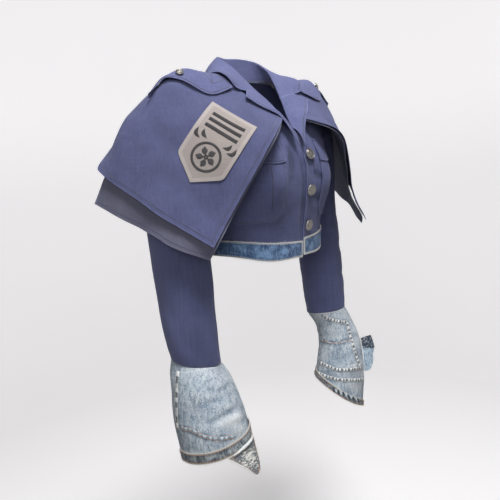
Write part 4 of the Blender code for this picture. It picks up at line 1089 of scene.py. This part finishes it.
# Seams on the sides that the photograph doesn't show, in metres, and their form
RIGHT_CUFF_HIDDEN = (
    ((-0.180, 0.010, -0.610), (-0.172, 0.008, -0.660), (-0.166, 0.004, -0.710), (-0.170, 0.0, -0.748)),
    ((-0.176, 0.025, -0.725), (-0.215, 0.050, -0.735), (-0.260, 0.030, -0.745), (-0.290, 0.0, -0.752)),
)
LEFT_CUFF_HIDDEN = (
    ((0.250, 0.035, -0.610), (0.255, 0.028, -0.660), (0.250, 0.020, -0.710), (0.235, 0.012, -0.770)),
    ((0.170, 0.010, -0.640), (0.200, 0.035, -0.650), (0.240, 0.035, -0.655)),
)
HIDDEN_FORM = (0.0040, 0.0010, 0.012, "tan")
# Places near the lower border of each cuff strip and of the gusset
CUFF_HEMS = {"right": (-0.2284, -0.13, -0.765), "left": (0.1993, -0.10, -0.795)}
GUSSET_HEM = (-0.21, -0.157, -0.80)


def sew_cuffs(shells, mats):
    """The felled seams of the denim cuffs with their puckers and rows of stitches."""
    seams, flat, tan, cream = Collector(), Collector(), Collector(), Collector()
    for name, shown, hidden in (
        ("right", RIGHT_CUFF_SEAMS, RIGHT_CUFF_HIDDEN), ("left", LEFT_CUFF_SEAMS, LEFT_CUFF_HIDDEN)
    ):
        shell = shells[f"cuff_{name}"]
        paths = [(rounded(shell.seen_at(pixels)), *form) for pixels, *form in shown]
        paths += [(shell.laid(rounded(path)), *HIDDEN_FORM) for path in hidden]
        for path, half_width, height, beat, colour in paths:
            ribbon(seams if colour == "cream" else flat, shell, path, half_width, height, 0.5, beat)
            raised = RaisedShell(shell, 0.6 * height)
            for share in (-0.85, 0.85):
                line = offset_path(shell, path, share * half_width)
                stitches(cream if colour == "cream" else tan, raised, line, FELLED_ROW)
        shell.measure("seam", [p for entry in paths for p in resampled(entry[0], 0.002)[0]])
    seams.make("cuff_seams", mats["seam"], "light_denim")
    flat.make("flat_cuff_seams", mats["flat_seam"], "light_denim")
    for name in ("right", "left"):
        strip = shells[f"cuff_strip_{name}"]
        stitches(tan, strip, strip.inset_loop(CUFF_HEMS[name], 0.0032), HEM_ROW)
    gusset = shells["cuff_gusset_right"]
    stitches(tan, gusset, gusset.inset_loop(GUSSET_HEM, 0.0032), GUSSET_ROW)
    for name, y in (("left", -0.12), ("right", -0.12), ("back", 0.10)):
        band = shells[f"waistband_{name}"]
        stitches(cream, band, band.inset_loop((0, y, -0.40), 0.0034))
    tan.make("tan_stitching", mats["tan_thread"], "light_denim")
    cream.make("cream_stitching", mats["cream_thread"], "light_denim")


def offset_path(shell, path, across):
    """The path moved sideways on the cloth."""
    moved = []
    for i, p in enumerate(path):
        ahead = (path[min(i + 1, len(path) - 1)] - path[max(i - 1, 0)]).normalized()
        place, normal = shell.lookup(p)
        moved.append(shell.lookup(place + normal.cross(ahead).normalized() * across)[0])
    return moved


# White rag caught under the right cuff's strip, and the dark belt loops on the left strip, in the
# photograph's pixels
RAG_PATHS = (
    ((234, 457), (240, 451), (247, 445), (255, 441)),
    ((237, 459), (244, 454), (251, 449), (257, 444)),
    ((240, 453), (245, 447), (250, 442), (254, 438)),
)
STRIP_BEATS = ((333, 388), (338, 390.5), (343, 392.5), (348, 394.5), (353, 396.5), (358, 398.5))


def ragged_cloth(shells, mats):
    """The torn white rag and the dark and pale beats on the left strip."""
    rag, dark, pale = Collector(), Collector(), Collector()
    under = RaisedShell(shells["cuff_strip_right"], 0.0008)
    for pixels in RAG_PATHS:
        path = rounded(shells["cuff_strip_right"].seen_at(pixels), 0.002)
        ribbon(rag, under, path, 0.0044, 0.0026, 0.9, 0.007, True, 0.0012)
    rag.make("torn_rag", mats["rag"], "light_denim")
    strip = shells["cuff_strip_left"]
    for x, y in STRIP_BEATS:
        path = strip.seen_at([(x, y - 0.4), (x + 1.2, y + 3.6)])
        ribbon(dark, strip, path, 0.0026, 0.0012, step=0.001)
    dark.make("strip_loops", mats["loop"], "dark_denim")
    for (near_x, near_y), (far_x, far_y) in zip(STRIP_BEATS, STRIP_BEATS[1:]):
        x, y = (near_x + far_x) / 2, (near_y + far_y) / 2
        path = strip.seen_at([(x, y), (x + 1.2, y + 3.0)])
        ribbon(pale, strip, path, 0.0022, 0.0009, step=0.001)
    pale.make("strip_pale_beats", mats["pale_beat"], "light_denim")


# Frayed cloths: threads a metre and the longest of them
FRAYED = (
    ("waistband_left", 700, 0.0045), ("waistband_right", 700, 0.0045), ("waistband_back", 600, 0.0045),
    ("cuff_strip_right", 900, 0.0060), ("cuff_strip_left", 700, 0.0040),
    ("cuff_gusset_right", 1500, 0.0075), ("cuff_tab_left", 800, 0.0040),
)


def fray_edges(shells, mats):
    """Cream thread ends along the raw denim edges."""
    made = Collector()
    for name, density, longest in FRAYED:
        for loop in shells[name].borders:
            fray(made, shells[name], loop, density, longest)
    made.make("frayed_threads", mats["fray"], "light_denim", "tone")


# Patch motif, in metres from the patch's middle: x across, y from the square end (-) towards the point (+)
ROSETTE = (0.0, 0.026)
ROSETTE_PETALS = 5
PETAL_LENGTH = 0.0205
PETAL_WIDTH = 0.0062
RINGS = ((0.0275, 0.0027), (0.0030, 0.0020))
RING_SIDES = 24
LEAVES = (
    ((0.030, 0.000), (0.041, -0.004), (0.043, -0.017)),
    ((0.018, -0.006), (0.028, -0.010), (0.031, -0.020)),
)
LEAF_WIDTH = 0.0042
BARS = (-0.030, -0.045, -0.060)
BAR_HALF = 0.036
BAR_WIDTH = 0.0043
PATCH_HALF = 0.052


def main_ways(points):
    """The middle of a form, and its longest, second and shortest ways."""
    middle = points.mean(axis=0)
    return middle, np.linalg.svd(points - middle, full_matrices=False)[2]


def patch_frame(shell):
    """The patch's middle, and the ways across it and towards its point."""
    points = read(shell.piece.data, "co")
    middle, (along, across, normal) = main_ways(points)
    if np.dot(normal, middle - np.array(PATCH_CORE)) < 0:
        normal = -normal
    reach = (points - middle) @ along
    breadth = (points - middle) @ across
    width = [np.ptp(breadth[sign * reach > 0.8 * (sign * reach).max()]) for sign in (1, -1)]
    if width[0] > width[1]:
        along, reach = -along, -reach
    centre = middle + along * (reach.max() + reach.min()) / 2
    return centre, np.cross(along, normal), along


def build_motif(shells, mats):
    """An embroidered rosette in a ring, two leaf sprigs and three straight bars."""
    shell = shells["shoulder_patch"]
    centre, across, along = patch_frame(shell)
    made = Collector()

    def strip(points, half_width, taper=False):
        path = rounded([Vector(centre + across * x + along * y) for x, y in points], 0.0015)
        ribbon(made, shell, path, half_width, 0.0009, 0.25, 0.0012, taper, 0.0012)

    def around(radius, angle):
        return ROSETTE[0] + radius * math.cos(angle), ROSETTE[1] + radius * math.sin(angle)

    for radius, width in RINGS:
        strip([around(radius, 2 * math.pi * k / RING_SIDES) for k in range(RING_SIDES + 1)], width)
    for k in range(ROSETTE_PETALS):
        a = 2 * math.pi * (k + 0.25) / ROSETTE_PETALS
        petal = [around(PETAL_LENGTH * r, a + turn) for r, turn in ((0.22, 0.0), (0.60, 0.10), (1.0, 0.0))]
        strip(petal, PETAL_WIDTH, True)
    for side in (1, -1):
        for leaf in LEAVES:
            strip([(side * x, y) for x, y in leaf], LEAF_WIDTH, True)
    for y in BARS:
        strip([(-BAR_HALF, y), (0, y), (BAR_HALF, y)], BAR_WIDTH)
    made.make("patch_embroidery", mats["embroidery"], "patch_cloth")
    hem = Collector()
    stitches(hem, shell, shell.inset_loop(tuple(centre + across * PATCH_HALF), 0.0035), PATCH_ROW)
    hem.make("patch_stitching", mats["khaki_thread"], "patch_cloth")


# Button profile in shares of the radius: distance from the axis and height
BUTTON_PROFILE = (
    (0.00, 0.520), (0.14, 0.515), (0.28, 0.500), (0.31, 0.455), (0.34, 0.490), (0.52, 0.450), (0.68, 0.380),
    (0.78, 0.310), (0.82, 0.285), (0.85, 0.340), (0.90, 0.375), (0.95, 0.345), (0.99, 0.270), (1.00, 0.225),
    (0.97, 0.190), (0.70, 0.170), (0.34, 0.165), (0.33, 0.000), (0.00, 0.000),
)
BUTTON_SIDES = 72
ROPE_TURNS = 24
ROPE_HEIGHT = 0.016
FLUTES = 5
FLUTE_HEIGHT = 0.018


def button_relief(share, height, angle):
    """The rope on the button's rim and the flutes of its dome."""
    if 0.84 < share < 1.0 and height > 0.25:
        return ROPE_HEIGHT * math.sin(ROPE_TURNS * angle + share * 20)
    if 0.34 < share < 0.72 and height > 0.2:
        return FLUTE_HEIGHT * math.cos(FLUTES * angle)
    return 0.0


def build_button(node, mats):
    """A domed metal button with a roped rim and a raised boss, where the CAD button is."""
    points = read(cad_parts[node].data, "co")
    middle, ways = main_ways(points)
    axis = ways[2]
    if np.dot(axis, middle - np.array((0, 0, middle[2]))) < 0:
        axis = -axis
    heights = (points - middle) @ axis
    foot = middle + axis * heights.min()
    radius = np.linalg.norm((points - middle) - np.outer(heights, axis), axis=1).max()
    turn = Vector(axis).to_track_quat("Z", "Y")
    tall = np.ptp(heights) / (BUTTON_PROFILE[0][1] * radius)
    made, values = [], []
    for share, height in BUTTON_PROFILE:
        for k in range(BUTTON_SIDES):
            a = 2 * math.pi * k / BUTTON_SIDES
            relief = button_relief(share, height, a)
            h = (height + relief) * radius * tall
            spot = Vector((share * radius * math.cos(a), share * radius * math.sin(a), h))
            made.append(tuple(Vector(foot) + turn @ spot))
            values.append(0.5 + 12 * relief + (0.5 if share > 0.85 or share < 0.30 else -0.1))
    mesh = bpy.data.meshes.new(node + "_metal")
    mesh.from_pydata(made, [], ring_faces(len(BUTTON_PROFILE), BUTTON_SIDES))
    keep(mesh, "relief", values)
    work = bmesh.new()
    work.from_mesh(mesh)
    bmesh.ops.remove_doubles(work, verts=work.verts, dist=1e-7)
    bmesh.ops.recalc_face_normals(work, faces=work.faces)
    work.to_mesh(mesh)
    work.free()
    mesh.shade_smooth()
    mesh.materials.append(mats["metal"])
    dressed(placed(node + "_metal", mesh), node)


def turned_round(name, profile, finish):
    """A stage surface turned about the jacket's axis from (radius, height) pairs; one pair gives a disc."""
    points = []
    for radius, height in profile:
        for k in range(STAGE_SIDES):
            a = 2 * math.pi * k / STAGE_SIDES
            points.append((radius * math.cos(a), radius * math.sin(a), CAD_BOX[0][2] - FLOOR_DROP + height))
    faces = ring_faces(len(profile), STAGE_SIDES) or [tuple(range(STAGE_SIDES))]
    mesh = bpy.data.meshes.new(name)
    mesh.from_pydata(points, [], faces)
    mesh.shade_smooth()
    mesh.materials.append(finish)
    made = placed(name, mesh)
    made.visible_diffuse = False
    return made


def build_stage():
    """A pale floor that curves up into a round backdrop."""
    paint = floor_paint()
    foot = WALL_DISTANCE - CURVE_RADIUS
    curve = []
    for k in range(CURVE_STEPS + 1):
        t = math.pi / 2 * k / CURVE_STEPS
        curve.append((foot + CURVE_RADIUS * math.sin(t), CURVE_RADIUS * (1 - math.cos(t))))
    floor = turned_round("stage_floor", [(foot, 0.0)], paint)
    wall = turned_round("stage_wall", curve + [(WALL_DISTANCE, WALL_HEIGHT)], paint)
    wall.visible_shadow = False


def build_lights():
    """Soft studio lights, an even grey world and a plain picture tone."""
    for name, place, aim, size, power in LIGHTS:
        lamp = bpy.data.lights.new(name, "AREA")
        lamp.size = size
        lamp.energy = power
        made = placed(name, lamp)
        made.location = place
        made.rotation_euler = (Vector(aim) - Vector(place)).to_track_quat("-Z", "Y").to_euler()
    world = bpy.data.worlds.new("studio")
    world.use_nodes = True
    background = world.node_tree.nodes["Background"]
    background.inputs["Color"].default_value = (*WORLD_GREY, 1)
    background.inputs["Strength"].default_value = WORLD_STRENGTH
    bpy.context.scene.world = world
    bpy.context.scene.view_settings.view_transform = "Standard"


def build_camera():
    """The camera at the photograph's place and angle."""
    right, up, forward = camera_turn()
    lens = bpy.data.cameras.new("camera")
    lens.sensor_width = SENSOR_MM
    lens.sensor_fit = "HORIZONTAL"
    lens.lens = FOCAL_PIXELS / FRAME_PIXELS * SENSOR_MM
    lens.clip_end = CLIP_END
    turn = Matrix((right, up, -forward)).transposed().to_4x4()
    made = placed("camera", lens)
    made.matrix_world = Matrix.Translation(Vector(CAMERA_PLACE)) @ turn
    bpy.context.scene.camera = made


def middle_of(node):
    low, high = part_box(node)
    return tuple((a + b) / 2 for a, b in zip(low, high))


def all_materials():
    return {
        "navy": twill_cloth("navy_twill_cloth", NAVY, NAVY_DUSTY),
        # A lighter copy of the navy twill: painted light on the upturned collar, lapels and epaulettes
        "lit_navy": twill_cloth("painted_lit_navy_twill", LIT_NAVY, LIT_NAVY_DUSTY),
        "slate": twill_cloth("slate_plain_cloth", SLATE, SLATE_DUSTY),
        "denim": denim_cloth("pale_denim", DENIM_PALE, DENIM_WHITE, DENIM_BLUE),
        "strip": band_cloth("dark_strip_denim", STRIP_DARK, STRIP_PALE),
        "torn": torn_cloth("torn_denim", FRAY, STRIP_DARK, middle_of("cuff_gusset_right"), GUSSET_PATCH),
        "tab": tab_cloth("tab_denim", DENIM_PALE, DENIM_WHITE, STRIP_DARK, TAB_SPLIT),
        "rag": thread("white_rag", FRAY, DENIM_PALE),
        "band": band_cloth("band_denim_cloth", BAND_BLUE, BAND_PALE),
        "seam": seam_cloth("puckered_seam", DENIM_WHITE, SEAM_BLUE),
        "flat_seam": seam_cloth("flat_seam", DENIM_PALE, DENIM_DEEP),
        "pale_beat": thread("pale_beat_denim", DENIM_PALE, DENIM_WHITE),
        "loop": thread("dark_loop_denim", STRIP_DARK, LOOP_DARK),
        "felt": felt_cloth("khaki_felt", KHAKI, KHAKI_LIGHT),
        "embroidery": embroidery("dark_embroidery", MOTIF_DARK, MOTIF_LIGHT),
        "navy_thread": thread("navy_thread", NAVY_THREAD, NAVY_DUSTY),
        # Painted shade for the seam grooves and pocket pleats; the thread loop and the neck tape share it
        "navy_shadow": thread("navy_seam_shadow", NAVY_SHADOW, SHADOW_LIGHT),
        "tan_thread": thread("tan_thread", ORANGE, ORANGE_LIGHT),
        "cream_thread": thread("cream_thread", CREAM, FRAY),
        "khaki_thread": thread("khaki_thread", KHAKI, KHAKI_LIGHT),
        "fray": thread("fray_thread", FRAY, FRAY_GREY),
        "metal": aged_metal("aged_silver", SILVER),
    }


def main():
    mats = all_materials()
    shells = build_cloth(mats)
    sew_cuffs(shells, mats)
    sew_navy(shells, mats)
    neck_tape(shells, mats)
    ragged_cloth(shells, mats)
    fray_edges(shells, mats)
    build_motif(shells, mats)
    for shell in shells.values():
        shell.thicken()
    for node in sorted(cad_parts):
        if node.startswith("button"):
            build_button(node, mats)
    build_stage()
    build_lights()
    build_camera()


main()
